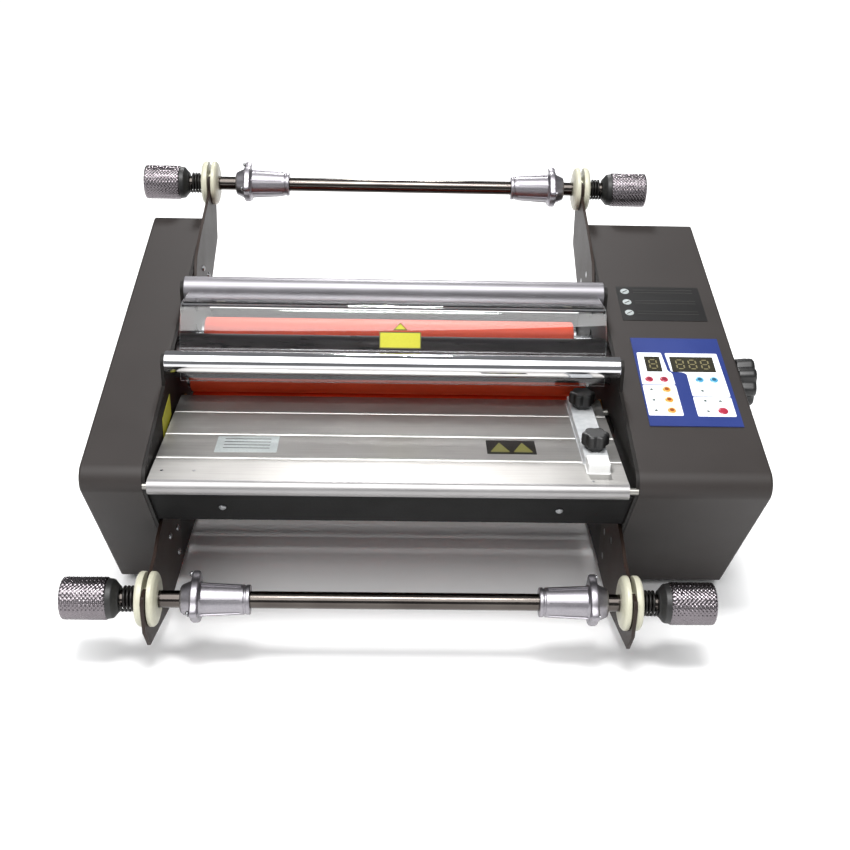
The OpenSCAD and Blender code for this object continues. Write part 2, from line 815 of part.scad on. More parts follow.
guide_w = 22;
guide_z = table_z + 0.3;
bar_h = 8;
block_h = 9.5;
block_w = 19.5;
knob_seat = 0.3;
guide_knob_y = [62, 150];
module edge_guide() {
    color("#d5d8da") place() difference() {
        union() {
            translate([guide_x - guide_w / 2, 47, guide_z]) cube([guide_w, 128, bar_h]);
            translate([guide_x - block_w / 2, 29, guide_z]) cube([block_w, 18 + eps, block_h]);
        }
        for (y = guide_knob_y) translate([guide_x, y, guide_z - 1]) cylinder(r = 3 + fit, h = bar_h + 2);
    }
}

module star_knob(y) {
    lobes = 6;
    r = 12.5;
    height = 16;
    top = guide_z + bar_h + knob_seat;
    color("#151515") place() translate([guide_x, y, 0]) {
        difference() {
            translate([0, 0, top]) cylinder(r = r, h = height);
            for (i = [0:lobes - 1]) rotate([0, 0, i * 360 / lobes])
                translate([r + 1, 0, top - 1]) cylinder(r = 3.4, h = height + 2);
        }
        translate([0, 0, guide_z + 1]) cylinder(r = 3, h = top - guide_z - 1 + eps);
    }
}

module front_guide_knob() { star_knob(guide_knob_y[0]); }
module rear_guide_knob() { star_knob(guide_knob_y[1]); }

// ---- rollers ----

module roller(y, z) {
    color("#d9532f") place() {
        xrod(y, z, cover_mid - cover_len / 2, cover_mid + cover_len / 2, roller_r);
        xrod(y, z, cover_mid - cover_len / 2 - 3, cover_mid + cover_len / 2 + 3, core_r);
        xrod(y, z, -half_gap - 8, roller_end, journal_r);
    }
}

module front_upper_roller() { roller(front_nip_y, upper_axis_z); }
module front_lower_roller() { roller(front_nip_y, lower_axis_z); }
module rear_upper_roller() { roller(rear_nip_y, upper_axis_z); }
module rear_lower_roller() { roller(rear_nip_y, lower_axis_z); }

gear_shade = "#d8d2c0";
module front_upper_gear() {
    color(gear_shade) place() spur_gear(front_nip_y, upper_axis_z, roller_teeth, front_upper_phase, journal_r);
}
module front_lower_gear() {
    color(gear_shade) place() spur_gear(front_nip_y, lower_axis_z, roller_teeth, front_lower_phase, journal_r);
}
module rear_upper_gear() {
    color(gear_shade) place() spur_gear(rear_nip_y, upper_axis_z, roller_teeth, rear_upper_phase, journal_r);
}
module rear_lower_gear() {
    color(gear_shade) place() spur_gear(rear_nip_y, lower_axis_z, roller_teeth, rear_lower_phase, journal_r);
}

// Yoke that carries the upper rollers and rises when the cam turns
module lift_plates() {
    arm_z = pressure_z + cam_r + cam_gap;
    color("#8f8c88") place() {
        both_sides() difference() {
            xslab(lift_x, lift_x + lift_t) union() {
                translate([front_nip_y - 13, upper_axis_z - 13]) square([rear_nip_y - front_nip_y + 26, 26]);
                translate([pressure_y - 8, arm_z]) square([front_nip_y - pressure_y + 8, 6]);
                translate([front_nip_y - 13, upper_axis_z]) square([26, arm_z + 6 - upper_axis_z]);
            }
            for (y = [front_nip_y, rear_nip_y])
                xrod(y, upper_axis_z, lift_x - 1, lift_x + lift_t + 1, journal_r + fit);
        }
        xrod(nip_mid_y, upper_axis_z, -lift_x - eps, lift_x + eps, lift_bar_r);
    }
}

module pressure_knob() {
    lobes = 8;
    color("#181818") place() {
        difference() {
            xrod(pressure_y, pressure_z, right_wall + 1, right_wall + knob_proud, pressure_r);
            for (i = [0:lobes - 1]) let (a = i * 360 / lobes)
                xrod(pressure_y + (pressure_r + 2.5) * cos(a), pressure_z + (pressure_r + 2.5) * sin(a),
                    right_wall, right_wall + knob_proud + 1, 6);
        }
        xrod(pressure_y, pressure_z, plate_in + 0.5, right_wall + 1 + eps, stub_r);
        xrod(pressure_y + nip_lift, pressure_z, lift_x, lift_x + lift_t, cam_r);
    }
}

left_side_plate();
right_side_plate();
tie_rods();
left_casing();
right_casing();
front_panel();
rear_panel();
idler_bar();
heat_shields();
heater_lamps();
lower_bearings();
lower_shaft_brackets();
upper_shaft_brackets();
frame_screws();
feet();
control_overlay();
display_window();
control_board();
gear_motor();
power_inlet();
shaft_bushes();
tension_springs();
power_switch();
motor_gear();
transfer_gear();
guard_lens();
guard_bar();
feed_table();
table_pins();
edge_guide();
front_guide_knob();
rear_guide_knob();
front_upper_roller();
front_lower_roller();
rear_upper_roller();
rear_lower_roller();
front_upper_gear();
front_lower_gear();
rear_upper_gear();
rear_lower_gear();
lift_plates();
pressure_knob();
upper_film_shaft();
lower_film_shaft();
upper_left_chuck();
upper_right_chuck();
lower_left_chuck();
lower_right_chuck();
upper_left_tension_knob();
upper_right_tension_knob();
lower_left_tension_knob();
lower_right_tension_knob();
speed_up_key();
speed_down_key();
temperature_up_key();
temperature_down_key();
forward_key();
reverse_key();
measure_key();
stop_key();
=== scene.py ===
"""Desktop roll laminator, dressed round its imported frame.

Objects are in metres in the frame's own axes. The sizes below are in millimetres and are measured
from the middle of the gap between the casings, the front bend of the casings and their underside.
"""

import logging
import math
from dataclasses import dataclass, field
from enum import Enum
from typing import Iterable, Optional, Sequence

import bmesh
import bpy
from mathutils import Matrix, Vector


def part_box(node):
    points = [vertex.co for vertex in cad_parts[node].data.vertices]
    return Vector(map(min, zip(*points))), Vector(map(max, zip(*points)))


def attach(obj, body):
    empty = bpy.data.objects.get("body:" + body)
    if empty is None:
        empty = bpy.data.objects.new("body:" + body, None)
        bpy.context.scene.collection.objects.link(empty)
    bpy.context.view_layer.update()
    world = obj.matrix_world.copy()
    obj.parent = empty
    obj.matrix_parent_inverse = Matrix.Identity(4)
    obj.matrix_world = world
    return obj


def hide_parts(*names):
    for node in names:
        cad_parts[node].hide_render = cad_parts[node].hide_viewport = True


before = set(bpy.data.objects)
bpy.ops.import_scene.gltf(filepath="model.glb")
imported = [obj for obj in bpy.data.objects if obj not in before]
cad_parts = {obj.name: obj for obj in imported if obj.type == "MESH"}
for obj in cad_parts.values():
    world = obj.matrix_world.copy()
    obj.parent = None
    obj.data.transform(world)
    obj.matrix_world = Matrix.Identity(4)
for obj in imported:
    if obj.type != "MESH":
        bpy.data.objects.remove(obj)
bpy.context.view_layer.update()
LOG = logging.getLogger("laminator")
MM = 0.001
Outline = list[tuple[float, float]]
NEAR = 1e-6  # points closer than this, in metres, are one point
SHARP = math.radians(38)  # a turn above this stays a hard edge
SHAFT_BORE = 7.56  # radius of the bores that run on the film shafts
UNDERCUT = 111.0  # how far the front of the casings leans back at their underside


# ---- finishes ----


class Grain(Enum):
    """How a surface's fine texture is laid out."""

    SPECKLE = "ShaderNodeTexNoise"
    CELLS = "ShaderNodeTexVoronoi"


def linear(colour: str) -> tuple[float, float, float, float]:
    """Turns an sRGB hex colour into linear light.

    Args:
        colour: Six hex digits after a hash.

    Returns:
        Linear red, green, blue and an alpha of one.
    """
    parts = [int(colour[i:i + 2], 16) / 255 for i in (1, 3, 5)]
    red, green, blue = [p / 12.92 if p <= 0.04045 else ((p + 0.055) / 1.055) ** 2.4 for p in parts]
    return red, green, blue, 1.0


def add_node(tree: bpy.types.NodeTree, kind: str, settings: Optional[dict] = None,
             inputs: Optional[dict] = None) -> bpy.types.Node:
    """Adds a node with its settings and links.

    Args:
        tree: The tree that gets the node.
        kind: The node's type name.
        settings: Attribute values by name.
        inputs: A value or an output socket for each input, by name or index.

    Returns:
        The new node.
    """
    node = tree.nodes.new(kind)
    for key, value in (settings or {}).items():
        setattr(node, key, value)
    for key, value in (inputs or {}).items():
        if isinstance(value, bpy.types.NodeSocket):
            tree.links.new(value, node.inputs[key])
        else:
            node.inputs[key].default_value = value
    return node


@dataclass(frozen=True)
class Finish:
    """A real surface: its tones, its gloss and the size of its grain.

    Fields:
        name: The finish in a maker's words.
        colour: Main tone, sRGB hex.
        tone: Second tone, reached where the grain and the clouding are strongest.
        gloss: Lowest and highest roughness.
        metallic: One for bare metal, less where an oxide or dirt scatters the light.
        size: Grain in millimetres along X, Y and Z.
        relief: Height of the grain in millimetres.
        grain: Layout of the grain.
        ior: Refractive index; a metal keeps the default.
        coat: Weight of a clear layer on top.
        clear: Share of light that passes through.
        alpha: Cover of the surface; below one for a very thin clear sheet.
        cloud: Size of the slow change of tone, in millimetres.
    """

    name: str
    colour: str
    tone: str
    gloss: tuple[float, float]
    metallic: float = 0.0
    size: tuple[float, float, float] = (1.0, 1.0, 1.0)
    relief: float = 0.01
    grain: Grain = Grain.SPECKLE
    ior: float = 1.5
    coat: float = 0.0
    clear: float = 0.0
    alpha: float = 1.0
    cloud: float = 45.0

    def material(self) -> bpy.types.Material:
        """Returns this finish as a node material, made on first use."""
        known = bpy.data.materials.get(self.name)
        if known:
            return known
        made = bpy.data.materials.new(self.name)
        made.use_nodes = True
        tree = made.node_tree
        shader = tree.nodes["Principled BSDF"]
        place = add_node(tree, "ShaderNodeTexCoord")
        fine_map = add_node(tree, "ShaderNodeMapping", inputs={
            "Vector": place.outputs["Object"], "Scale": tuple(1 / (s * MM) for s in self.size)})
        fine = add_node(tree, self.grain.value, inputs={"Vector": fine_map.outputs[0], "Scale": 1.0})
        slow = add_node(tree, "ShaderNodeTexNoise", inputs={
            "Vector": place.outputs["Object"], "Scale": 1 / (self.cloud * MM), "Detail": 2.0})
        fine_value = fine.outputs[0]
        mean = add_node(tree, "ShaderNodeMath", {"operation": "ADD"}, {0: fine_value, 1: slow.outputs[0]})
        share = add_node(tree, "ShaderNodeMapRange", inputs={
            "Value": mean.outputs[0], "From Min": 0.7, "From Max": 1.3})
        # The colour sockets of a Mix node share their names with its other types, so they are set by index.
        tint = add_node(tree, "ShaderNodeMix", {"data_type": "RGBA"}, {
            0: share.outputs[0], 6: linear(self.colour), 7: linear(self.tone)})
        tree.links.new(tint.outputs[2], shader.inputs["Base Color"])
        rough = add_node(tree, "ShaderNodeMapRange", inputs={
            "Value": mean.outputs[0], "From Min": 0.7, "From Max": 1.3,
            "To Min": self.gloss[0], "To Max": self.gloss[1]})
        tree.links.new(rough.outputs[0], shader.inputs["Roughness"])
        bump = add_node(tree, "ShaderNodeBump", inputs={"Height": fine_value, "Distance": self.relief * MM})
        tree.links.new(bump.outputs[0], shader.inputs["Normal"])
        shader.inputs["Metallic"].default_value = self.metallic
        shader.inputs["IOR"].default_value = self.ior
        shader.inputs["Coat Weight"].default_value = self.coat
        shader.inputs["Transmission Weight"].default_value = self.clear
        shader.inputs["Alpha"].default_value = self.alpha
        return made


LONG = 60.0  # length of a drawn hair line, in millimetres
# Satin powder coat over bent steel: a soft, slightly pebbled sheen without streaks.
CASING_COAT = Finish("dark_powder_coat", "#241f1d", "#2a2523", (0.54, 0.62), size=(0.9, 0.9, 0.9), relief=0.02,
                     ior=1.42)
# The same coat made much darker on the inner plates: painted shade, for plates that sit recessed between the casings.
SHADED_PLATE_COAT = Finish("plate_coat_painted_shade", "#0f0c0b", "#161310", (0.52, 0.62), size=(0.9, 0.9, 0.9), relief=0.02,
                    ior=1.36)
# Brown-black stove enamel on the shaft brackets: a low, even gloss.
BRACKET_ENAMEL = Finish("brown_stove_enamel", "#211713", "#2b1f19", (0.46, 0.56), size=(1.4, 1.4, 1.4), relief=0.02,
                        ior=1.33)
# Black stove enamel on the cross panels: nearly matt, it gives back very little.
BLACK_ENAMEL = Finish("black_stove_enamel", "#070707", "#0b0a0a", (0.62, 0.72), size=(1.2, 1.2, 1.2), relief=0.015,
                      ior=1.28)
# Drawn and anodised aluminium: hair lines along the length and a broad soft highlight.
TABLE_ANODISED = Finish("anodised_table_aluminium", "#9d9b98", "#aaa8a5", (0.38, 0.43), 0.75, (LONG, 1.5, 1.5),
                        0.001)
# The same metal made a shade lighter on top of each ridge: a painted highlight along the beads.
RIDGE_HIGHLIGHT_ALUMINIUM = Finish("ridge_painted_highlight_aluminium", "#a4a3a0", "#b0afac", (0.36, 0.42), 0.8, (LONG, 1.5, 1.5), 0.001)
# The same metal rolled round the front edge, where it shows one long soft band.
NOSE_ALUMINIUM = Finish("rolled_nose_aluminium", "#929090", "#9d9b9b", (0.4, 0.45), 0.85, (LONG, 1.5, 1.5), 0.001)
# Satin bar stock: pale and blurred, with faint lines along it.
BAR_ALUMINIUM = Finish("satin_bar_aluminium", "#807e82", "#8c8a8e", (0.42, 0.47), 0.85, (LONG, 2.0, 2.0), 0.001)
# Hard chrome on ground steel: mirror sharp, with faint handling marks.
CHROME = Finish("hard_chrome", "#cfcfd2", "#dcdcde", (0.06, 0.09), 1.0, (30.0, 12.0, 12.0), 0.0003)
# Chrome over dark tube: deep bands with one thin bright line.
DARK_CHROME = Finish("dark_chrome_tube", "#4d4845", "#5a5551", (0.14, 0.18), 1.0, (30.0, 9.0, 9.0), 0.0003)
# Diamond-knurled chrome: every small flat catches its own glint, so it sparkles along bands.
KNURL_CHROME = Finish("diamond_knurled_chrome", "#6b6669", "#7d777b", (0.22, 0.3), 1.0, (1.5, 1.5, 1.5), 0.002)
# Zinc plate on screws and pins: dull silver, slightly uneven.
ZINC = Finish("bright_zinc_plate", "#8d8e90", "#a3a4a6", (0.2, 0.36), 1.0, (2.5, 2.5, 2.5), 0.006)
# Hobbed steel: grey, with cutter lines that blur its highlight.
GEAR_STEEL = Finish("hobbed_steel", "#8d8b86", "#a19f99", (0.3, 0.42), 1.0, (6.0, 1.0, 1.0), 0.006)
# Rolled bar steel: grey mill skin with a soft sheen.
YOKE_STEEL = Finish("rolled_yoke_steel", "#7c7974", "#908c86", (0.34, 0.48), 1.0, (8.0, 1.5, 1.5), 0.008)
# Steel sheet that has been heated: dark oxide with a dull metal sheen.
HOT_STEEL = Finish("heat_darkened_steel", "#3c3838", "#4a4546", (0.26, 0.34), 1.0, (30.0, 6.0, 6.0), 0.0005)
# Cast alloy with turned faces: soft grey with smooth, rounded highlights.
CAST_ALLOY = Finish("cast_zinc_alloy", "#8e8b90", "#9d9a9f", (0.36, 0.44), 1.0, (1.6, 1.6, 1.6), 0.004)
# Rougher casting of the motor housing: a pitted, even grey.
MOTOR_ALLOY = Finish("cast_motor_alloy", "#84878a", "#989b9e", (0.4, 0.52), 1.0, (1.6, 1.6, 1.6), 0.05, Grain.CELLS)
# Pressed and sintered bronze: brown-gold, with small dull pores.
BRONZE = Finish("sintered_bronze", "#8a6434", "#a37a42", (0.35, 0.5), 1.0, (0.8, 0.8, 0.8), 0.01, Grain.CELLS)
# Oil-blackened spring wire: dark, with a thin line of light on each turn.
BLACK_SPRING = Finish("blackened_spring_steel", "#161514", "#232120", (0.28, 0.42), 0.6, (2.0, 2.0, 2.0), 0.004)
# Ground silicone rubber: strong colour, matt, with a fine tooth round the roller.
SILICONE = Finish("ground_orange_silicone", "#d2401c", "#dd4c26", (0.42, 0.55), size=(5.0, 0.7, 0.7), relief=0.01,
                  ior=1.41)
# Cast acrylic sheet, polished on both faces: clear, with sharp reflections.
ACRYLIC = Finish("clear_cast_acrylic", "#ffffff", "#fbfdfd", (0.01, 0.02), size=(90.0, 60.0, 60.0), relief=0.0,
                 ior=1.49, clear=1.0)
# Its sawn edge: cloudy, so it shows as a pale line.
ACRYLIC_EDGE = Finish("sawn_acrylic_edge", "#c9d6d6", "#e4ecec", (0.25, 0.4), size=(0.8, 0.8, 0.8), relief=0.01,
                      ior=1.49, clear=0.5)
# Frosted acrylic bar: milky, with a little light coming through.
FROSTED_ACRYLIC = Finish("frosted_guide_acrylic", "#c9cccf", "#e3e5e6", (0.12, 0.22), size=(6.0, 6.0, 6.0),
                         relief=0.02, ior=1.49, clear=0.35)
# Moulded acetal: clean white with a waxy sheen.
WHITE_BLOCK = Finish("white_acetal", "#e6e6e5", "#dededc", (0.35, 0.45), size=(1.2, 1.2, 1.2), relief=0.006)
# Turned nylon: warm white with fine tool rings and a waxy gloss.
NYLON = Finish("turned_nylon", "#b3b19c", "#c3c1ae", (0.3, 0.42), size=(0.5, 3.0, 3.0), relief=0.01, ior=1.53)
# Cast nylon of the transfer gear: ivory and nearly matt.
GEAR_NYLON = Finish("cast_gear_nylon", "#c9c1aa", "#d8d1bd", (0.4, 0.5), size=(1.0, 1.0, 1.0), relief=0.01,
                    ior=1.53)
# Moulded phenolic: black, with soft highlights on its lobes.
PHENOLIC = Finish("black_phenolic", "#090909", "#100f0f", (0.36, 0.48), size=(0.8, 0.8, 0.8), relief=0.01, ior=1.55)
# Moulded black nylon: an even, fine spark texture.
MOULDED_BLACK = Finish("moulded_black_nylon", "#161616", "#1e1e1e", (0.42, 0.55), size=(0.6, 0.6, 0.6), relief=0.02)
# Moulded rubber: black and quite dull.
FOOT_RUBBER = Finish("moulded_foot_rubber", "#151514", "#1f1e1d", (0.68, 0.82), size=(0.8, 0.8, 0.8), relief=0.03)
# Glossy red rocker plastic.
SWITCH_RED = Finish("red_rocker_plastic", "#9c1b1b", "#a92323", (0.28, 0.38), size=(0.8, 0.8, 0.8), relief=0.01)
# Screen print under a satin polyester film: even colour and a soft gloss.
PRINT_BLUE = Finish("blue_film_print", "#182a68", "#1d3072", (0.34, 0.44), size=(0.6, 0.6, 0.6), relief=0.006)
# The same print in white, pink, pale blue and amber.
PRINT_WHITE = Finish("white_film_print", "#f2f4f8", "#e6eaf2", (0.3, 0.4), size=(0.6, 0.6, 0.6), relief=0.006)
PRINT_PINK = Finish("pink_film_print", "#f0cdd6", "#f3d6dd", (0.3, 0.4), size=(0.6, 0.6, 0.6), relief=0.006)
PRINT_SKY = Finish("sky_film_print", "#bfe0ee", "#c9e6f1", (0.3, 0.4), size=(0.6, 0.6, 0.6), relief=0.006)
PRINT_AMBER = Finish("amber_film_print", "#f5dfb4", "#f6e5c2", (0.3, 0.4), size=(0.6, 0.6, 0.6), relief=0.006)
# Embossed key domes under clear lacquer, each with a darker printed centre.
KEY_RED = Finish("red_key_dome", "#93182f", "#a0263e", (0.3, 0.4), size=(0.5, 0.5, 0.5), relief=0.004, coat=0.2)
KEY_DARK = Finish("dark_key_centre", "#6a1426", "#7d1c30", (0.25, 0.35), size=(0.5, 0.5, 0.5), relief=0.004)
KEY_BLUE = Finish("blue_key_dome", "#3f8bb2", "#4e97bb", (0.25, 0.35), size=(0.5, 0.5, 0.5), relief=0.004, coat=0.3)
KEY_TEAL = Finish("teal_key_centre", "#1d4d66", "#28596f", (0.25, 0.35), size=(0.5, 0.5, 0.5), relief=0.004)
KEY_ORANGE = Finish("orange_key_dome", "#cf8430", "#d8943f", (0.25, 0.35), size=(0.5, 0.5, 0.5), relief=0.004,
                    coat=0.3)
KEY_BROWN = Finish("brown_key_centre", "#7a3d14", "#8a491c", (0.25, 0.35), size=(0.5, 0.5, 0.5), relief=0.004)
# Unlit indicator: a small dark lens with a wet gloss.
LAMP_DARK = Finish("unlit_indicator", "#3c4a45", "#48564f", (0.1, 0.2), size=(0.5, 0.5, 0.5), relief=0.002,
                   coat=0.6)
# Smoked acrylic over the digits: nearly black and shiny.
SMOKED = Finish("smoked_display_lens", "#2a281f", "#302e24", (0.08, 0.16), size=(4.0, 4.0, 4.0), relief=0.001)
# Segments that are off: a dim straw colour behind the smoke.
UNLIT = Finish("unlit_segment", "#6d6546", "#777050", (0.3, 0.4), size=(0.6, 0.6, 0.6), relief=0.002)
# Vinyl labels: flat colour with a faint orange-peel gloss, and ink one shade off.
LABEL_BLACK = Finish("black_label_film", "#0a0909", "#0f0e0e", (0.4, 0.5), size=(0.8, 0.8, 0.8), relief=0.004,
                     ior=1.4)
LABEL_GREY = Finish("faint_label_ink", "#201f1d", "#262423", (0.35, 0.45), size=(0.8, 0.8, 0.8), relief=0.004)
# Metallised label foil: pale, with a soft mirror.
LABEL_SILVER = Finish("silver_label_foil", "#b9c0c0", "#cfd6d5", (0.3, 0.42), 0.6, (2.0, 2.0, 2.0), 0.004)
# Yellow label film and its olive ink.
LABEL_YELLOW = Finish("yellow_label_film", "#b8b423", "#c1be30", (0.42, 0.52), size=(1.5, 1.5, 1.5), relief=0.004)
LABEL_OLIVE = Finish("olive_label_ink", "#5c5a22", "#67652c", (0.35, 0.45), size=(1.5, 1.5, 1.5), relief=0.004)
# Solder mask on the control board: deep green and half glossy.
BOARD = Finish("green_solder_mask", "#174a2b", "#1f5a35", (0.3, 0.4), size=(2.0, 2.0, 2.0), relief=0.02)
# Quartz tube of the heaters: milky and smooth.
QUARTZ = Finish("milky_quartz_tube", "#d8d2c4", "#e4dfd4", (0.2, 0.3), size=(6.0, 1.0, 1.0), relief=0.004)

# The side plates take the darker plate coat, whose colour holds painted shade.
BARE_NODE_FINISHES = {
    "left_side_plate": SHADED_PLATE_COAT, "right_side_plate": SHADED_PLATE_COAT, "tie_rods": ZINC,
    "left_casing": CASING_COAT, "right_casing": CASING_COAT, "front_panel": BLACK_ENAMEL,
    "rear_panel": BLACK_ENAMEL, "idler_bar": CHROME, "heat_shields": HOT_STEEL, "heater_lamps": QUARTZ,
    "lower_bearings": BRONZE, "lower_shaft_brackets": BRACKET_ENAMEL, "upper_shaft_brackets": BRACKET_ENAMEL,
    "frame_screws": ZINC, "feet": FOOT_RUBBER, "control_overlay": PRINT_BLUE, "display_window": SMOKED,
    "control_board": BOARD, "gear_motor": MOTOR_ALLOY, "power_inlet": MOULDED_BLACK, "shaft_bushes": NYLON,
    "tension_springs": BLACK_SPRING, "power_switch": SWITCH_RED, "motor_gear": GEAR_STEEL,
    "transfer_gear": GEAR_NYLON, "guard_lens": ACRYLIC, "guard_bar": BAR_ALUMINIUM,
    "feed_table": TABLE_ANODISED, "table_pins": GEAR_STEEL, "edge_guide": FROSTED_ACRYLIC,
    "front_guide_knob": PHENOLIC, "rear_guide_knob": PHENOLIC, "front_upper_roller": SILICONE,
    "front_lower_roller": SILICONE, "rear_upper_roller": SILICONE, "rear_lower_roller": SILICONE,
    "front_upper_gear": GEAR_STEEL, "front_lower_gear": GEAR_STEEL, "rear_upper_gear": GEAR_STEEL,
    "rear_lower_gear": GEAR_STEEL, "lift_plates": YOKE_STEEL, "pressure_knob": PHENOLIC,
    "upper_film_shaft": DARK_CHROME, "lower_film_shaft": DARK_CHROME, "upper_left_chuck": CAST_ALLOY,
    "upper_right_chuck": CAST_ALLOY, "lower_left_chuck": CAST_ALLOY, "lower_right_chuck": CAST_ALLOY,
    "upper_left_tension_knob": KNURL_CHROME, "upper_right_tension_knob": KNURL_CHROME,
    "lower_left_tension_knob": KNURL_CHROME, "lower_right_tension_knob": KNURL_CHROME,
    "speed_up_key": KEY_RED, "speed_down_key": KEY_RED, "temperature_up_key": KEY_BLUE,
    "temperature_down_key": KEY_BLUE, "forward_key": KEY_ORANGE, "reverse_key": KEY_ORANGE,
    "measure_key": KEY_ORANGE, "stop_key": KEY_RED,
}


# ---- places ----


@dataclass(frozen=True)
class Datum:
    """Where the machine's own zero lies in the frame, in metres, and the shape of its sloping top."""

    middle: float
    front: float
    base: float
    half_gap: float
    depth: float = 400.0
    front_height: float = 167.0
    rear_height: float = 280.0

    @property
    def slope(self) -> float:
        """Rise of the top per unit of depth."""
        return (self.rear_height - self.front_height) / self.depth

    @property
    def tilt(self) -> float:
        """Angle of the top, in radians."""
        return math.atan(self.slope)

    def home(self) -> Matrix:
        """Matrix from machine millimetres to the frame's metres."""
        return Matrix.Translation((self.middle, self.front, self.base)) @ Matrix.Diagonal((MM, MM, MM, 1.0))

    def box(self, node: str) -> tuple[Vector, Vector]:
        """Returns a node's lowest and highest corner in machine millimetres."""
        back = self.home().inverted()
        low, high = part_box(node)
        return back @ low, back @ high

    def axis(self, node: str) -> tuple[float, float]:
        """Returns the Y and Z of the middle of a node's box, in machine millimetres."""
        low, high = self.box(node)
        return (low.y + high.y) / 2, (low.z + high.z) / 2

    def along_x(self, x: float, y: float, z: float, side: int = 1) -> Matrix:
        """Places local Z along X.

        Args:
            x: Start along X.
            y: Axis place along Y.
            z: Axis place along Z.
            side: One, or minus one to point the other way.

        Returns:
            The matrix from local millimetres to the frame.
        """
        turn = Matrix(((0, 0, side, x), (1, 0, 0, y), (0, 1, 0, z), (0, 0, 0, 1)))
        return self.home() @ turn

    def upright(self, x: float, y: float, z: float) -> Matrix:
        """Returns the matrix that keeps local Z upright at a place."""
        return self.home() @ Matrix.Translation((x, y, z))

    def on_top(self, x: float, y: float, lift: float = 0.0) -> Matrix:
        """Stands local Z square to the sloping top at a place, with local Y up the slope."""
        stand = Matrix.Translation((x, y, self.front_height + self.slope * y)) @ Matrix.Rotation(self.tilt, 4, "X")
        return self.home() @ stand @ Matrix.Translation((0, 0, lift))


def find_datum() -> Datum:
    """Reads the machine's zero from the boxes of its two casings."""
    left_low, left_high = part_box("left_casing")
    right_low, right_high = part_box("right_casing")
    middle = (left_high.x + right_low.x) / 2
    return Datum(middle, right_high.y - Datum.depth * MM, left_low.z, (right_low.x - left_high.x) / 2 / MM)


# ---- meshes ----


def rounded(points: Sequence[Sequence[float]], radius: float, closed: bool = True, steps: int = 4) -> Outline:
    """Rounds the corners of an outline.

    Args:
        points: Corners in order.
        radius: How far along each edge the rounding starts.
        closed: Whether the last point joins the first.
        steps: Points on each corner.

    Returns:
        The rounded outline.
    """
    found: Outline = []
    count = len(points)
    for i, point in enumerate(points):
        here = Vector(point[:2])
        if not closed and i in (0, count - 1):
            found.append((here.x, here.y))
            continue
        before, after = Vector(points[i - 1][:2]), Vector(points[(i + 1) % count][:2])
        reach_in = min(radius, (before - here).length * 0.45)
        reach_out = min(radius, (after - here).length * 0.45)
        start = here + (before - here).normalized() * reach_in
        end = here + (after - here).normalized() * reach_out
        for k in range(steps + 1):
            t = k / steps
            spot = start * (1 - t) ** 2 + here * 2 * t * (1 - t) + end * t ** 2
            found.append((spot.x, spot.y))
    return found


def arc(centre: tuple[float, float], radius: float, start: float, end: float, steps: int = 16) -> Outline:
    """Returns points on an arc.

    Args:
        centre: Middle of the arc.
        radius: Its radius.
        start: First angle, in degrees.
        end: Last angle, in degrees.
        steps: Number of steps.

    Returns:
        The points, both ends included.
    """
    angles = [math.radians(start + (end - start) * i / steps) for i in range(steps + 1)]
    return [(centre[0] + radius * math.cos(a), centre[1] + radius * math.sin(a)) for a in angles]


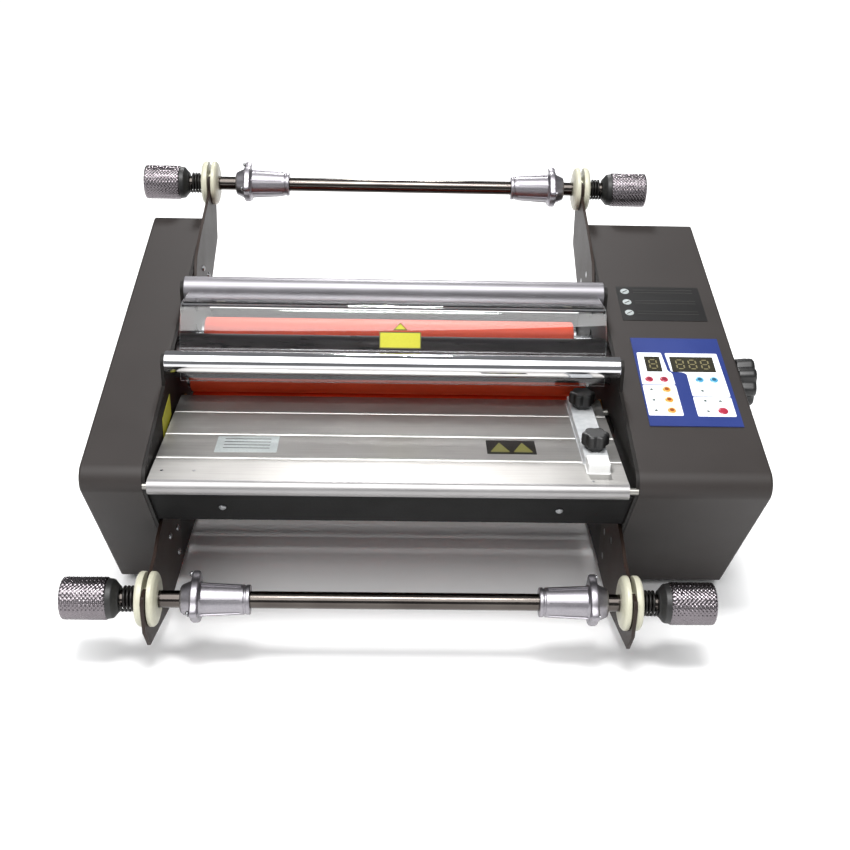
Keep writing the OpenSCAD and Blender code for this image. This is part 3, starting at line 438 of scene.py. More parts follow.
class Draft:
    """A mesh in the making, built in local millimetres and kept in the frame's metres."""

    def __init__(self) -> None:
        """Starts an empty mesh."""
        self.bm = bmesh.new()

    def skin(self, rings: Sequence[Sequence[Vector]], place: Matrix, finish: int = 0, loop: bool = False,
             finishes: Optional[Sequence[int]] = None) -> "Draft":
        """Joins rings of points with faces and caps both ends.

        Args:
            rings: Rings with the same number of points each.
            place: Matrix from local millimetres to the frame.
            finish: Material index.
            loop: Whether the last ring joins the first instead of both being capped.
            finishes: Material index of each band between rings.

        Returns:
            This draft.
        """
        made = [[self.bm.verts.new(place @ point) for point in ring] for ring in rings]
        pairs = list(zip(made, made[1:]))
        if loop:
            pairs.append((made[-1], made[0]))
        for band, (first, second) in enumerate(pairs):
            count = len(first)
            for i in range(count):
                j = (i + 1) % count
                face = self.bm.faces.new((first[i], first[j], second[j], second[i]))
                face.material_index = finishes[band] if finishes else finish
        if not loop:
            for ring, index in ((made[0], 0), (made[-1], -1)):
                cap = self.bm.faces.new(ring)
                cap.material_index = finishes[index] if finishes else finish
        return self

    def lathe(self, profile: Sequence[tuple[float, float]], place: Matrix, steps: int = 72, finish: int = 0,
              loop: bool = False, finishes: Optional[Sequence[int]] = None) -> "Draft":
        """Turns a profile round local Z.

        Args:
            profile: Pairs of height along the axis and radius.
            place: Matrix from local millimetres to the frame.
            steps: Points round the axis.
            finish: Material index.
            loop: Whether the profile is a closed ring, as on a piece with a bore.
            finishes: Material index of each band.

        Returns:
            This draft.
        """
        turns = [2 * math.pi * i / steps for i in range(steps)]
        rings = [[Vector((max(r, 0.02) * math.cos(a), max(r, 0.02) * math.sin(a), z)) for a in turns]
                 for z, r in profile]
        return self.skin(rings, place, finish, loop, finishes)

    def prism(self, outline: Sequence[tuple[float, float]], low: float, high: float, place: Matrix,
              finish: int = 0, sides: Optional[Sequence[int]] = None) -> "Draft":
        """Stands an outline up along local Z.

        Args:
            outline: Points in local X and Y.
            low: Lower end.
            high: Upper end.
            place: Matrix from local millimetres to the frame.
            finish: Material index.
            sides: Material index of the side that starts at each point.

        Returns:
            This draft.
        """
        rings = [[self.bm.verts.new(place @ Vector((x, y, z))) for x, y in outline] for z in (low, high)]
        count = len(outline)
        for i in range(count):
            j = (i + 1) % count
            face = self.bm.faces.new((rings[0][i], rings[0][j], rings[1][j], rings[1][i]))
            face.material_index = sides[i] if sides else finish
        for ring in rings:
            self.bm.faces.new(ring).material_index = finish
        return self

    def box(self, low: Sequence[float], high: Sequence[float], place: Matrix, finish: int = 0) -> "Draft":
        """Adds a block between two corners in local millimetres."""
        outline = [(low[0], low[1]), (high[0], low[1]), (high[0], high[1]), (low[0], high[1])]
        return self.prism(outline, low[2], high[2], place, finish)

    def soften(self, width: float, angle: float = 30.0, segments: int = 2) -> "Draft":
        """Rounds every edge sharper than an angle.

        Args:
            width: Rounding in millimetres.
            angle: Smallest angle that is rounded, in degrees.
            segments: Faces across the rounding.

        Returns:
            This draft.
        """
        self.bm.normal_update()
        limit = math.radians(angle)
        edges = [e for e in self.bm.edges if len(e.link_faces) == 2 and e.calc_face_angle(0.0) > limit]
        bmesh.ops.bevel(self.bm, geom=edges, offset=width * MM, segments=segments, profile=0.5, affect="EDGES",
                        clamp_overlap=True, miter_outer="ARC")
        return self

    def take(self, mesh: bpy.types.Mesh, finish: int = 0) -> "Draft":
        """Adds a finished mesh that is already in the frame's metres, with one material index."""
        before = len(self.bm.faces)
        self.bm.from_mesh(mesh)
        self.bm.faces.ensure_lookup_table()
        for face in self.bm.faces[before:]:
            face.material_index = finish
        return self

    def mesh(self, name: str, finishes: Sequence[Finish]) -> bpy.types.Mesh:
        """Closes the draft.

        Args:
            name: The mesh's name.
            finishes: Its materials in index order.

        Returns:
            The mesh, with normals outward and hard edges only where it turns sharply.
        """
        bmesh.ops.remove_doubles(self.bm, verts=self.bm.verts, dist=NEAR)
        bmesh.ops.recalc_face_normals(self.bm, faces=self.bm.faces)
        made = bpy.data.meshes.new(name)
        self.bm.to_mesh(made)
        self.bm.free()
        for finish in finishes:
            made.materials.append(finish.material())
        made.polygons.foreach_set("use_smooth", [True] * len(made.polygons))
        made.set_sharp_from_angle(angle=SHARP)
        return made


def settle(piece: bpy.types.Object) -> bpy.types.Object:
    """Turns a piece and its modifiers into one plain mesh.

    Args:
        piece: An object with live modifiers.

    Returns:
        The same object, with none.
    """
    graph = bpy.context.evaluated_depsgraph_get()
    made = bpy.data.meshes.new_from_object(piece.evaluated_get(graph))
    piece.modifiers.clear()
    piece.data = made
    return piece


def publish(draft: Draft, name: str, finishes: Sequence[Finish], body: str,
            replaces: Iterable[str] = ()) -> bpy.types.Object:
    """Makes a draft a piece of the machine.

    Args:
        draft: The mesh in the making.
        name: The piece's name.
        finishes: Its materials in index order.
        body: The body that it rides on.
        replaces: The frame's nodes that it stands for.

    Returns:
        The new object.
    """
    piece = bpy.data.objects.new(name, draft.mesh(name, finishes))
    bpy.context.scene.collection.objects.link(piece)
    flow = piece.modifiers.new("even_shading", "WEIGHTED_NORMAL")
    flow.keep_sharp = True
    settle(piece)
    return adopt(piece, body, replaces)


def adopt(piece: bpy.types.Object, body: str, replaces: Iterable[str] = ()) -> bpy.types.Object:
    """Gives a finished object its body and the nodes that it stands for, and logs it.

    Args:
        piece: The finished object.
        body: The body that it rides on.
        replaces: The frame's nodes that it stands for.

    Returns:
        The same object.
    """
    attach(piece, body)
    for node in replaces:
        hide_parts(node)
    LOG.info("%s rides on %s, %d faces", piece.name, body, len(piece.data.polygons))
    return piece


def node_copy(node: str) -> Draft:
    """Copies a frame node's mesh as a draft, merges its loose triangles and joins flat ones."""
    draft = Draft().take(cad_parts[node].data)
    bmesh.ops.remove_doubles(draft.bm, verts=draft.bm.verts, dist=NEAR)
    bmesh.ops.dissolve_limit(draft.bm, angle_limit=math.radians(0.5), verts=draft.bm.verts, edges=draft.bm.edges)
    return draft


# ---- repeated pieces, as node groups ----


def set_inputs(modifier: bpy.types.Modifier, values: dict) -> None:
    """Sets a node group's inputs on its modifier by their identifiers."""
    for item in modifier.node_group.interface.items_tree:
        if item.item_type == "SOCKET" and item.in_out == "INPUT" and item.name in values:
            modifier[item.identifier] = values[item.name]


def new_tree(name: str, inputs: dict[str, tuple[str, object]]) -> bpy.types.NodeTree:
    """Starts a geometry node group.

    Args:
        name: The group's name.
        inputs: Socket type and default value of each named input.

    Returns:
        The group, with its interface.
    """
    tree = bpy.data.node_groups.new(name, "GeometryNodeTree")
    tree.interface.new_socket("Geometry", in_out="OUTPUT", socket_type="NodeSocketGeometry")
    tree.interface.new_socket("Geometry", in_out="INPUT", socket_type="NodeSocketGeometry")
    for label, (kind, value) in inputs.items():
        socket = tree.interface.new_socket(label, in_out="INPUT", socket_type=kind)
        if value is not None:
            socket.default_value = value
    return tree


def end_tree(tree: bpy.types.NodeTree, geometry: bpy.types.NodeSocket, finish: bpy.types.NodeSocket) -> None:
    """Closes a group with Realize Instances and Set Material."""
    real = add_node(tree, "GeometryNodeRealizeInstances", inputs={0: geometry})
    dressed = add_node(tree, "GeometryNodeSetMaterial", inputs={"Geometry": real.outputs[0], "Material": finish})
    add_node(tree, "NodeGroupOutput", inputs={0: dressed.outputs[0]})


def scatter_tree() -> bpy.types.NodeTree:
    """Returns the group that puts a piece on every seat, turned as the seat says."""
    known = bpy.data.node_groups.get("seat_pieces")
    if known:
        return known
    tree = new_tree("seat_pieces", {
        "Piece": ("NodeSocketObject", None), "Size": ("NodeSocketFloat", 1.0),
        "Finish": ("NodeSocketMaterial", None)})
    given = add_node(tree, "NodeGroupInput")
    turn = add_node(tree, "GeometryNodeInputNamedAttribute", {"data_type": "FLOAT_VECTOR"}, {"Name": "turn"})
    as_turn = add_node(tree, "FunctionNodeEulerToRotation", inputs={0: turn.outputs[0]})
    source = add_node(tree, "GeometryNodeObjectInfo", inputs={"Object": given.outputs["Piece"]})
    seated = add_node(tree, "GeometryNodeInstanceOnPoints", inputs={
        "Points": given.outputs["Geometry"], "Instance": source.outputs["Geometry"],
        "Rotation": as_turn.outputs[0], "Scale": given.outputs["Size"]})
    end_tree(tree, seated.outputs[0], given.outputs["Finish"])
    return tree


def scatter(name: str, sample: Draft, seats: Sequence[Matrix], finish: Finish, size: float = 1.0) -> bpy.types.Object:
    """Puts one sample on every seat.

    Args:
        name: Name of the result.
        sample: The piece, in metres round its own zero.
        seats: Where each one goes.
        finish: Material of all of them.
        size: Scale of the sample.

    Returns:
        One plain mesh object that holds them all.
    """
    source = bpy.data.objects.new(name + "_sample", sample.mesh(name + "_sample", [finish]))
    bpy.context.scene.collection.objects.link(source)
    points = bpy.data.meshes.new(name)
    points.from_pydata([seat.to_translation() for seat in seats], [], [])
    turns = points.attributes.new("turn", "FLOAT_VECTOR", "POINT")
    for spot, seat in zip(turns.data, seats):
        spot.vector = Vector(seat.to_euler())
    piece = bpy.data.objects.new(name, points)
    bpy.context.scene.collection.objects.link(piece)
    modifier = piece.modifiers.new("seats", "NODES")
    modifier.node_group = scatter_tree()
    set_inputs(modifier, {"Piece": source, "Size": size, "Finish": finish.material()})
    settle(piece)
    bpy.data.objects.remove(source)
    piece.data.set_sharp_from_angle(angle=SHARP)
    return piece


def knurl_tree() -> bpy.types.NodeTree:
    """Returns the group that makes a diamond-knurled barrel along X, with both ends eased."""
    known = bpy.data.node_groups.get("knurled_barrel")
    if known:
        return known
    number = "NodeSocketFloat"
    tree = new_tree("knurled_barrel", {
        "Radius": (number, 19.0), "Length": (number, 39.0), "Teeth": (number, 42.0), "Depth": (number, 0.5),
        "Ease": (number, 1.2), "Around": ("NodeSocketInt", 169), "Along": ("NodeSocketInt", 54),
        "Finish": ("NodeSocketMaterial", None)})
    given = add_node(tree, "NodeGroupInput").outputs
    sheet = add_node(tree, "GeometryNodeMeshGrid", inputs={
        "Size X": 1.0, "Size Y": 1.0, "Vertices X": given["Around"], "Vertices Y": given["Along"]})
    spot = add_node(tree, "ShaderNodeSeparateXYZ", inputs={0: add_node(tree, "GeometryNodeInputPosition").outputs[0]})

    def reckon(operation: str, *values: object) -> bpy.types.NodeSocket:
        """Chains one step of the knurl's rule."""
        return add_node(tree, "ShaderNodeMath", {"operation": operation}, dict(enumerate(values))).outputs[0]

    angle = reckon("MULTIPLY", spot.outputs[0], 2 * math.pi)
    along = reckon("MULTIPLY", reckon("ADD", spot.outputs[1], 0.5), given["Length"])
    pitch = reckon("DIVIDE", reckon("MULTIPLY", given["Radius"], 2 * math.pi), given["Teeth"])
    around = reckon("MULTIPLY", spot.outputs[0], given["Teeth"])
    step = reckon("DIVIDE", along, pitch)
    right_hand = reckon("PINGPONG", reckon("ADD", around, step), 0.5)
    left_hand = reckon("PINGPONG", reckon("SUBTRACT", around, step), 0.5)
    height = reckon("MULTIPLY", reckon("MINIMUM", right_hand, left_hand), 2.0)
    cut = reckon("MULTIPLY", reckon("SUBTRACT", 1.0, height), given["Depth"])
    end = reckon("MINIMUM", along, reckon("SUBTRACT", given["Length"], along))
    ease = reckon("MAXIMUM", reckon("SUBTRACT", given["Ease"], end), 0.0)
    radius = reckon("SUBTRACT", reckon("SUBTRACT", given["Radius"], cut), ease)
    place = add_node(tree, "ShaderNodeCombineXYZ", inputs={
        0: along, 1: reckon("MULTIPLY", radius, reckon("COSINE", angle)),
        2: reckon("MULTIPLY", radius, reckon("SINE", angle))})
    bent = add_node(tree, "GeometryNodeSetPosition", inputs={
        "Geometry": sheet.outputs[0], "Position": place.outputs[0]})
    closed = add_node(tree, "GeometryNodeMergeByDistance", inputs={"Geometry": bent.outputs[0], "Distance": 0.001})
    end_tree(tree, closed.outputs[0], given["Finish"])
    return tree


def coil_tree() -> bpy.types.NodeTree:
    """Returns the group that winds a spring of round wire along Z."""
    known = bpy.data.node_groups.get("wound_spring")
    if known:
        return known
    number = "NodeSocketFloat"
    tree = new_tree("wound_spring", {
        "Radius": (number, 10.0), "Wire": (number, 1.2), "Turns": (number, 4.0), "Length": (number, 12.0),
        "Finish": ("NodeSocketMaterial", None)})
    given = add_node(tree, "NodeGroupInput").outputs
    line = add_node(tree, "GeometryNodeCurveSpiral", inputs={
        "Resolution": 36, "Rotations": given["Turns"], "Start Radius": given["Radius"],
        "End Radius": given["Radius"], "Height": given["Length"]})
    section = add_node(tree, "GeometryNodeCurvePrimitiveCircle", inputs={"Resolution": 12, "Radius": given["Wire"]})
    wire = add_node(tree, "GeometryNodeCurveToMesh", inputs={
        "Curve": line.outputs[0], "Profile Curve": section.outputs[0], "Fill Caps": True})
    end_tree(tree, wire.outputs[0], given["Finish"])
    return tree


def from_tree(name: str, tree: bpy.types.NodeTree, values: dict, place: Matrix) -> bpy.types.Mesh:
    """Runs a group and returns its plain mesh.

    Args:
        name: Name of the mesh.
        tree: The group.
        values: Its inputs by name.
        place: Matrix from local millimetres to the frame.

    Returns:
        The mesh in the frame's metres.
    """
    carrier = bpy.data.objects.new(name, bpy.data.meshes.new(name))
    bpy.context.scene.collection.objects.link(carrier)
    modifier = carrier.modifiers.new(name, "NODES")
    modifier.node_group = tree
    set_inputs(modifier, values)
    made = settle(carrier).data
    made.transform(place)
    bpy.data.objects.remove(carrier)
    return made


def screw_head(radius: float, height: float) -> Draft:
    """Returns a pan head with a cross recess, in metres, standing on its own zero."""
    scale = Matrix.Diagonal((MM, MM, MM, 1.0))
    draft = Draft()
    profile = [(0.0, radius), (height * 0.35, radius), (height * 0.75, radius * 0.82), (height, radius * 0.5)]
    draft.lathe(rounded(profile, 0.5, closed=False), scale, 24)
    arm, half = radius * 0.62, radius * 0.13
    for turn in (0, math.pi / 2):
        bar = scale @ Matrix.Rotation(turn, 4, "Z")
        draft.box((-arm, -half, height * 0.6), (arm, half, height + 0.04), bar)
    return draft


# ---- the machine ----


@dataclass
class Casings:
    """The two bent-sheet casings with their undercut fronts."""

    at: Datum
    sheet: float = 2.0
    bend: float = 16.0
    undercut: float = UNDERCUT
    edge: float = 2.6

    def outline(self, inset: float) -> Outline:
        """Side outline in Y and Z, moved inward by an inset."""
        lean = math.atan(self.undercut / self.at.front_height)
        tilt, slope = self.at.tilt, self.at.slope

        def top(y: float, t: float) -> float:
            """Height of the sloping top."""
            return self.at.front_height + slope * y - t / math.cos(tilt)

        def front(z: float, t: float) -> float:
            """Depth of the undercut front."""
            return self.undercut - math.tan(lean) * z + t / math.cos(lean)

        reach = self.bend * (math.tan(lean) / math.cos(tilt) + 1 / math.cos(lean)) / (1 + slope * math.tan(lean))
        centre = (reach, top(reach, self.bend))
        curve = arc(centre, self.bend - inset, 90 + math.degrees(tilt), 180 + math.degrees(lean), 20)
        back = self.at.depth - inset
        return curve + [(front(inset, inset), inset), (back, inset), (back, top(back, inset))]

    def shell(self, side: int, wall: float) -> Draft:
        """Builds one casing.

        Args:
            side: One for the right-hand casing, minus one for the left.
            wall: Distance of its outer face from the middle of the gap.

        Returns:
            A closed shell of sheet thickness.
        """
        inner = self.at.half_gap
        path = [(wall - self.sheet, self.sheet), (inner, self.sheet), (inner, 0.0)]
        steps = 5
        for k in range(steps + 1):
            turn = math.pi / 2 * k / steps
            path.append((wall - self.edge * (1 - math.sin(turn)), self.edge * (1 - math.cos(turn))))
        rings = [[Vector((y, z, x)) for y, z in self.outline(inset)] for x, inset in path]
        return Draft().skin(rings, self.at.along_x(0, 0, 0, side))

    def build(self) -> None:
        """Makes both casings."""
        for side, name in ((-1, "left_casing"), (1, "right_casing")):
            low, high = self.at.box(name)
            wall = high.x if side > 0 else -low.x
            publish(self.shell(side, wall), name + "_shell", [CASING_COAT], "chassis", [name])


@dataclass
class Chassis:
    """Plates, brackets, panels and the pieces fastened to them."""

    at: Datum
    soft_edge: float = 0.5
    head_radius: float = 3.4
    head_height: float = 2.0
    lower_screws: Outline = field(default_factory=lambda: [(109, 56), (74, 68), (107, 30)])
    upper_screws: Outline = field(default_factory=lambda: [(346, 240), (376, 222), (330, 222)])
    back_screws: Outline = field(default_factory=lambda: [(241.5, 20), (241.5, 250)])

    def plates(self) -> None:
        """Rounds the edges of the flat steelwork."""
        # The side plates take the darker plate coat, whose colour holds painted shade.
        rows = (("left_side_plate", SHADED_PLATE_COAT, "frame_paint"), ("right_side_plate", SHADED_PLATE_COAT, "frame_paint"),
                ("lower_shaft_brackets", BRACKET_ENAMEL, "bracket_paint"),
                ("upper_shaft_brackets", BRACKET_ENAMEL, "bracket_paint"),
                ("front_panel", BLACK_ENAMEL, "black_paint"), ("rear_panel", BLACK_ENAMEL, "black_paint"))
        for node, finish, slot in rows:
            publish(node_copy(node).soften(self.soft_edge, 40), node + "_worked", [finish], "chassis", [node])

    def screws(self) -> None:
        """Seats every visible screw of the frame."""
        seats = []
        plate_low, plate_high = self.at.box("lower_shaft_brackets")
        inner = min(abs(plate_low.x), abs(plate_high.x)) - 3.0
        for side in (-1, 1):
            for y, z in self.lower_screws + self.upper_screws:
                seats.append(self.at.along_x(side * inner, y, z, -side))
        panel_low, panel_high = self.at.box("front_panel")
        lean = math.atan2(UNDERCUT, self.at.front_height)
        z = (panel_low.z + panel_high.z) / 2
        y = UNDERCUT - math.tan(lean) * z + 3 / math.cos(lean)
        for x in (-150.0, 150.0):
            turn = Matrix.Translation((x, y, z)) @ Matrix.Rotation(math.pi / 2 + lean, 4, "X")
            seats.append(self.at.home() @ turn)
        for side in (-1, 1):
            for x, z in self.back_screws:
                turn = Matrix.Translation((side * x, self.at.depth, z)) @ Matrix.Rotation(-math.pi / 2, 4, "X")
                seats.append(self.at.home() @ turn)
        heads = scatter("frame_screw_heads", screw_head(self.head_radius, self.head_height), seats, ZINC)
        adopt(heads, "chassis", ["frame_screws"])

    def feet(self) -> None:
        """Turns the four rubber feet, each with a hollow under it."""
        low, high = self.at.box("feet")
        draft = Draft()
        height = high.z - low.z
        profile = rounded([(height, 0), (height, 17), (0, 15), (0, 10), (3, 8), (3, 0)], 1.2, closed=False)
        for x in (low.x + 17, high.x - 17):
            for y in (low.y + 17, high.y - 17):
                draft.lathe(profile, self.at.upright(x, y, low.z), 40)
        publish(draft, "rubber_feet", [FOOT_RUBBER], "chassis", ["feet"])

    def bushes(self) -> None:
        """Turns the four double-flanged shaft bushes."""
        draft = Draft()
        inner, outer, groove, flange, bore = 200.5, 219.5, 10.0, 24.0, SHAFT_BORE
        profile = rounded([(inner, bore), (inner, 16.0), (inner + 1.6, flange - 2.2), (inner + 3.6, flange),
                           (208.0, flange), (208.0, groove), (212.0, groove), (212.0, flange),
                           (outer - 3.0, flange), (outer - 1.0, flange - 2.0), (outer, 16.0), (outer, bore)], 1.0)
        for shaft in ("upper_film_shaft", "lower_film_shaft"):
            y, z = self.at.axis(shaft)
            for side in (-1, 1):
                draft.lathe(profile, self.at.along_x(0, y, z, side), 80, loop=True)
        publish(draft, "turned_bushes", [NYLON], "chassis", ["shaft_bushes"])

    def springs(self) -> None:
        """Winds the four brake springs."""
        draft = Draft()
        start, length = 221.2, 11.2
        for shaft in ("upper_film_shaft", "lower_film_shaft"):
            y, z = self.at.axis(shaft)
            for side in (-1, 1):
                values = {"Radius": 10.3, "Wire": 1.2, "Turns": 3.5, "Length": length,
                          "Finish": BLACK_SPRING.material()}
                draft.take(from_tree("coil", coil_tree(), values, self.at.along_x(side * start, y, z, side)))
        publish(draft, "wound_springs", [BLACK_SPRING], "chassis", ["tension_springs"])

    def plate_sticker(self) -> None:
        """Adds the plain yellow sticker inside the left-hand plate."""
        outline = rounded([(98, 158), (138, 164), (138, 186), (98, 178)], 1.5)
        draft = Draft().prism(outline, 0, 0.25, self.at.along_x(-211.5, 0, 0))
        publish(draft, "plate_sticker", [LABEL_YELLOW], "chassis")

    def build(self) -> None:
        """Makes everything that is fastened to the frame."""
        self.plates()
        self.screws()
        self.feet()
        self.bushes()
        self.springs()
        self.plate_sticker()


@dataclass
class Guard:
    """The hinged clear guard, its bar and the plain sticker on it."""

    at: Datum
    half: float = 204.0
    thick: float = 3.0
    lip: tuple[float, float] = (157.5, 190.5)
    brow: tuple[float, float] = (181.0, 253.0)
    face_radius: float = 150.0
    bend: float = 12.0
    groove: float = 6.0

    def bar(self) -> None:
        """Turns the satin bar that the guard hangs from."""
        low, high = self.at.box("guard_bar")
        y, z = self.at.axis("guard_bar")
        half, radius, pin = 210.5, (high.z - low.z) / 2, 2.5
        profile = rounded([(low.x, 0), (low.x, pin), (-half, pin), (-half, radius), (half, radius), (half, pin),
                           (high.x, pin), (high.x, 0)], 0.8, closed=False)
        draft = Draft().lathe(profile, self.at.along_x(0, y, z), 96)
        publish(draft, "guard_hanging_bar", [BAR_ALUMINIUM], "guard", ["guard_bar"])

    def skin_line(self, offset: float) -> Outline:
        """Outline of one face of the bent sheet, in Y and Z, from its lip to the bar."""
        lip, brow = Vector(self.lip), Vector(self.brow)
        chord = brow - lip
        middle = 90 + math.degrees(math.atan2(chord.y, chord.x))
        spread = math.degrees(math.asin(chord.length / 2 / self.face_radius))
        low, high = middle + spread, middle - spread

        def ray(angle: float) -> Vector:
            """Unit vector at an angle in degrees."""
            return Vector((math.cos(math.radians(angle)), math.sin(math.radians(angle))))

        face_at = lip - self.face_radius * ray(low)
        bend_at = brow - self.bend * ray(high)
        bar = Vector(self.at.axis("guard_bar"))
        reach = bar - bend_at
        entry = math.degrees(math.atan2(reach.y, reach.x) - math.asin(self.bend / reach.length))
        radius = (self.at.box("guard_bar")[1].z - self.at.box("guard_bar")[0].z) / 2
        end = bar - (radius - self.groove) * ray(entry) + offset * ray(entry + 90)
        return (arc(tuple(face_at), self.face_radius + offset, low, high, 32)
                + arc(tuple(bend_at), self.bend + offset, high, 90 + entry, 16)[1:] + [(end.x, end.y)])

    def lens(self) -> None:
        """Bends the clear sheet, with duller sawn edges."""
        outer, inner = self.skin_line(0), self.skin_line(-self.thick)
        outline = outer + inner[::-1]
        draft = Draft().prism(outline, -self.half, self.half, self.at.along_x(0, 0, 0), 0)
        for face in draft.bm.faces:
            if len(face.verts) > 4:
                face.material_index = 1
        publish(draft, "bent_clear_guard", [ACRYLIC, ACRYLIC_EDGE], "guard", ["guard_lens"])

    def stickers(self) -> None:
        """Adds a plain yellow rectangle and triangle high on the face."""
        line = self.skin_line(0.15)
        spot, above = Vector(line[20]), Vector(line[22])
        rise = above - spot
        turn = math.atan2(rise.y, rise.x)
        place = (self.at.home() @ Matrix.Translation((6.0, spot.x, spot.y)) @ Matrix.Rotation(turn, 4, "X"))
        border = rounded([(-20, -8), (20, -8), (20, 8), (-20, 8)], 1.0)
        field_ = rounded([(-19, -7), (19, -7), (19, 7), (-19, 7)], 0.8)
        triangle = rounded([(-7, 9.5), (7, 9.5), (0, 17)], 1.0)
        mark = rounded([(-5, 10.6), (5, 10.6), (0, 15.4)], 0.8)
        draft = Draft().prism(border, -0.4, 0.1, place, 1).prism(field_, 0.0, 0.2, place, 0)
        draft.prism(triangle, -0.6, 0.0, place, 1).prism(mark, -0.2, 0.1, place, 0)
        publish(draft, "guard_sticker", [LABEL_YELLOW, LABEL_OLIVE], "guard")

    def build(self) -> None:
        """Makes the guard."""
        self.bar()
        self.lens()
        self.stickers()


@dataclass
class Rollers:
    """Four silicone-covered rollers and the chrome idler."""

    at: Datum
    cover: tuple[float, float] = (-201.0, 191.0)
    core: float = 16.0
    journal: float = 6.0

    def covered(self, node: str, body: str) -> None:
        """Turns one covered roller with its steel ends."""
        low, high = self.at.box(node)
        y, z = self.at.axis(node)
        radius = (high.z - low.z) / 2
        left, right = self.cover
        profile = [(low.x, 0.0), (low.x, self.journal - 0.6), (low.x + 0.6, self.journal), (left - 3, self.journal),
                   (left - 3, self.core), (left, self.core), (left, radius - 0.8), (left + 0.8, radius),
                   (right - 0.8, radius), (right, radius - 0.8), (right, self.core), (right + 3, self.core),
                   (right + 3, self.journal), (high.x - 0.6, self.journal), (high.x, self.journal - 0.6),
                   (high.x, 0.0)]
        bands = [0 if 4 < i < 10 else 1 for i in range(len(profile) - 1)]
        draft = Draft().lathe(profile, self.at.along_x(0, y, z), 96, finishes=bands)
        publish(draft, node + "_turned", [SILICONE, ZINC], body, [node])

    def idler(self) -> None:
        """Turns the chrome idler bar."""
        low, high = self.at.box("idler_bar")
        y, z = self.at.axis("idler_bar")
        radius, pin, half = (high.z - low.z) / 2, 2.5, 211.0
        profile = rounded([(low.x, 0), (low.x, pin), (-half, pin), (-half, radius), (half, radius), (half, pin),
                           (high.x, pin), (high.x, 0)], 0.7, closed=False)
        draft = Draft().lathe(profile, self.at.along_x(0, y, z), 128)
        publish(draft, "chromed_idler", [CHROME], "idler", ["idler_bar"])

    def build(self) -> None:
        """Makes all the rollers."""
        for node in ("front_upper", "front_lower", "rear_upper", "rear_lower"):
            self.covered(node + "_roller", node)
        self.idler()


@dataclass
class FeedTable:
    """The slide-out table with its ridges, labels and edge guide."""

    at: Datum
    top: float = 163.5
    skin: float = 4.0
    nose: tuple[float, float] = (11.0, 156.5)
    nose_radius: float = 7.0
    ridges: tuple[float, ...] = (53.0, 100.0, 147.0)
    bead: float = 1.7
    back: float = 184.0

    def section(self) -> tuple[Outline, list[int]]:
        """Returns the table's cross section in Y and Z and the finish of each side."""
        nose = arc(self.nose, self.nose_radius, 270, 90, 24)
        points = list(nose)
        sides = [2] * len(nose)
        sides[-1] = 0
        for y in self.ridges:
            groove = self.bead + 0.9
            # Side finish one, on the bead tops, is the lighter ridge metal with its painted highlight.
            shape = [(y - groove, 0.0, 0), (y - self.bead, -0.6, 1), (y - self.bead * 0.6, 0.12, 1),
                     (y, 0.26, 1), (y + self.bead * 0.6, 0.12, 1), (y + self.bead, -0.6, 0), (y + groove, 0.0, 0)]
            for spot, rise, side in shape:
                points.append((spot, self.top + rise))
                sides.append(side)
        points += [(self.back, self.top), (self.back, self.top - self.skin)]
        sides += [0, 0]
        for y in reversed(self.ridges):
            points += [(y + 2, self.top - self.skin), (y + 2, self.top - 11), (y - 2, self.top - 11),
                       (y - 2, self.top - self.skin)]
            sides += [0] * 4
        points += [(19.0, self.top - self.skin), (19.0, self.nose[1] - self.nose_radius)]
        sides += [0, 0]
        return points, sides

    def planks(self) -> None:
        """Extrudes the table and closes its ends."""
        low, high = self.at.box("feed_table")
        outline, sides = self.section()
        place = self.at.along_x(0, 0, 0)
        draft = Draft().prism(outline, low.x, high.x, place, 0, sides)
        cheek = [(13.0, 149.6), (172.0, 149.6), (172.0, 162.4), (13.0, 162.4)]
        for edge in (low.x + 0.05, high.x - 4.05):
            draft.prism(cheek, edge, edge + 4, place)
        # The ridge finish is the table metal made lighter, a painted highlight on the beads.
        publish(draft, "table_planks", [TABLE_ANODISED, RIDGE_HIGHLIGHT_ALUMINIUM, NOSE_ALUMINIUM], "table",
                ["feed_table"])

    def labels(self) -> None:
        """Adds two blank labels and three flush screws."""
        place = self.at.upright(0, 0, self.top)
        silver = rounded([(-160, 62), (-104, 63), (-104, 95), (-160, 94)], 1.0)
        tag = rounded([(86, 65), (131, 65), (131, 92), (86, 92)], 1.0)
        draft = Draft().prism(silver, 0, 0.12, place, 0).prism(tag, 0, 0.12, place, 1)
        for y in (71.0, 77.0, 83.0, 89.0):
            draft.box((-153, y - 0.6, 0.1), (-111, y + 0.6, 0.16), place, 3)
        for x in (98, 119):
            mark = rounded([(x - 9, 69), (x + 9, 69), (x, 88)], 1.5)
            draft.prism(mark, 0.1, 0.2, place, 2)
        # The tag takes the same darker plate coat as its own dark colour.
        publish(draft, "table_labels", [LABEL_SILVER, SHADED_PLATE_COAT, LABEL_OLIVE, LABEL_GREY], "table")
        seats = [self.at.upright(x, y, self.top - 1.2) for x, y in ((-200, 27), (-172, 27), (175, 16))]
        adopt(scatter("table_screws", screw_head(2.2, 1.4), seats, ZINC), "table")

    def guide(self) -> None:
        """Makes the edge guide: a white stop block ahead of a frosted bar."""
        low, high = self.at.box("edge_guide")
        home = self.at.home()
        joint, inset = 47.0, 1.25
        bar = Draft().box((low.x, joint - 0.5, low.z), (high.x, high.y, low.z + 8), home, 0).soften(0.9, segments=3)
        publish(bar, "guide_bar", [FROSTED_ACRYLIC], "edge_guide")
        block = Draft().box((low.x + inset, low.y, low.z), (high.x - inset, joint, high.z), home, 0)
        block.soften(1.0, segments=3)
        publish(block, "guide_block", [WHITE_BLOCK], "edge_guide", ["edge_guide"])

    def build(self) -> None:
        """Makes the table and what is on it."""
        self.planks()
        self.labels()
        self.guide()


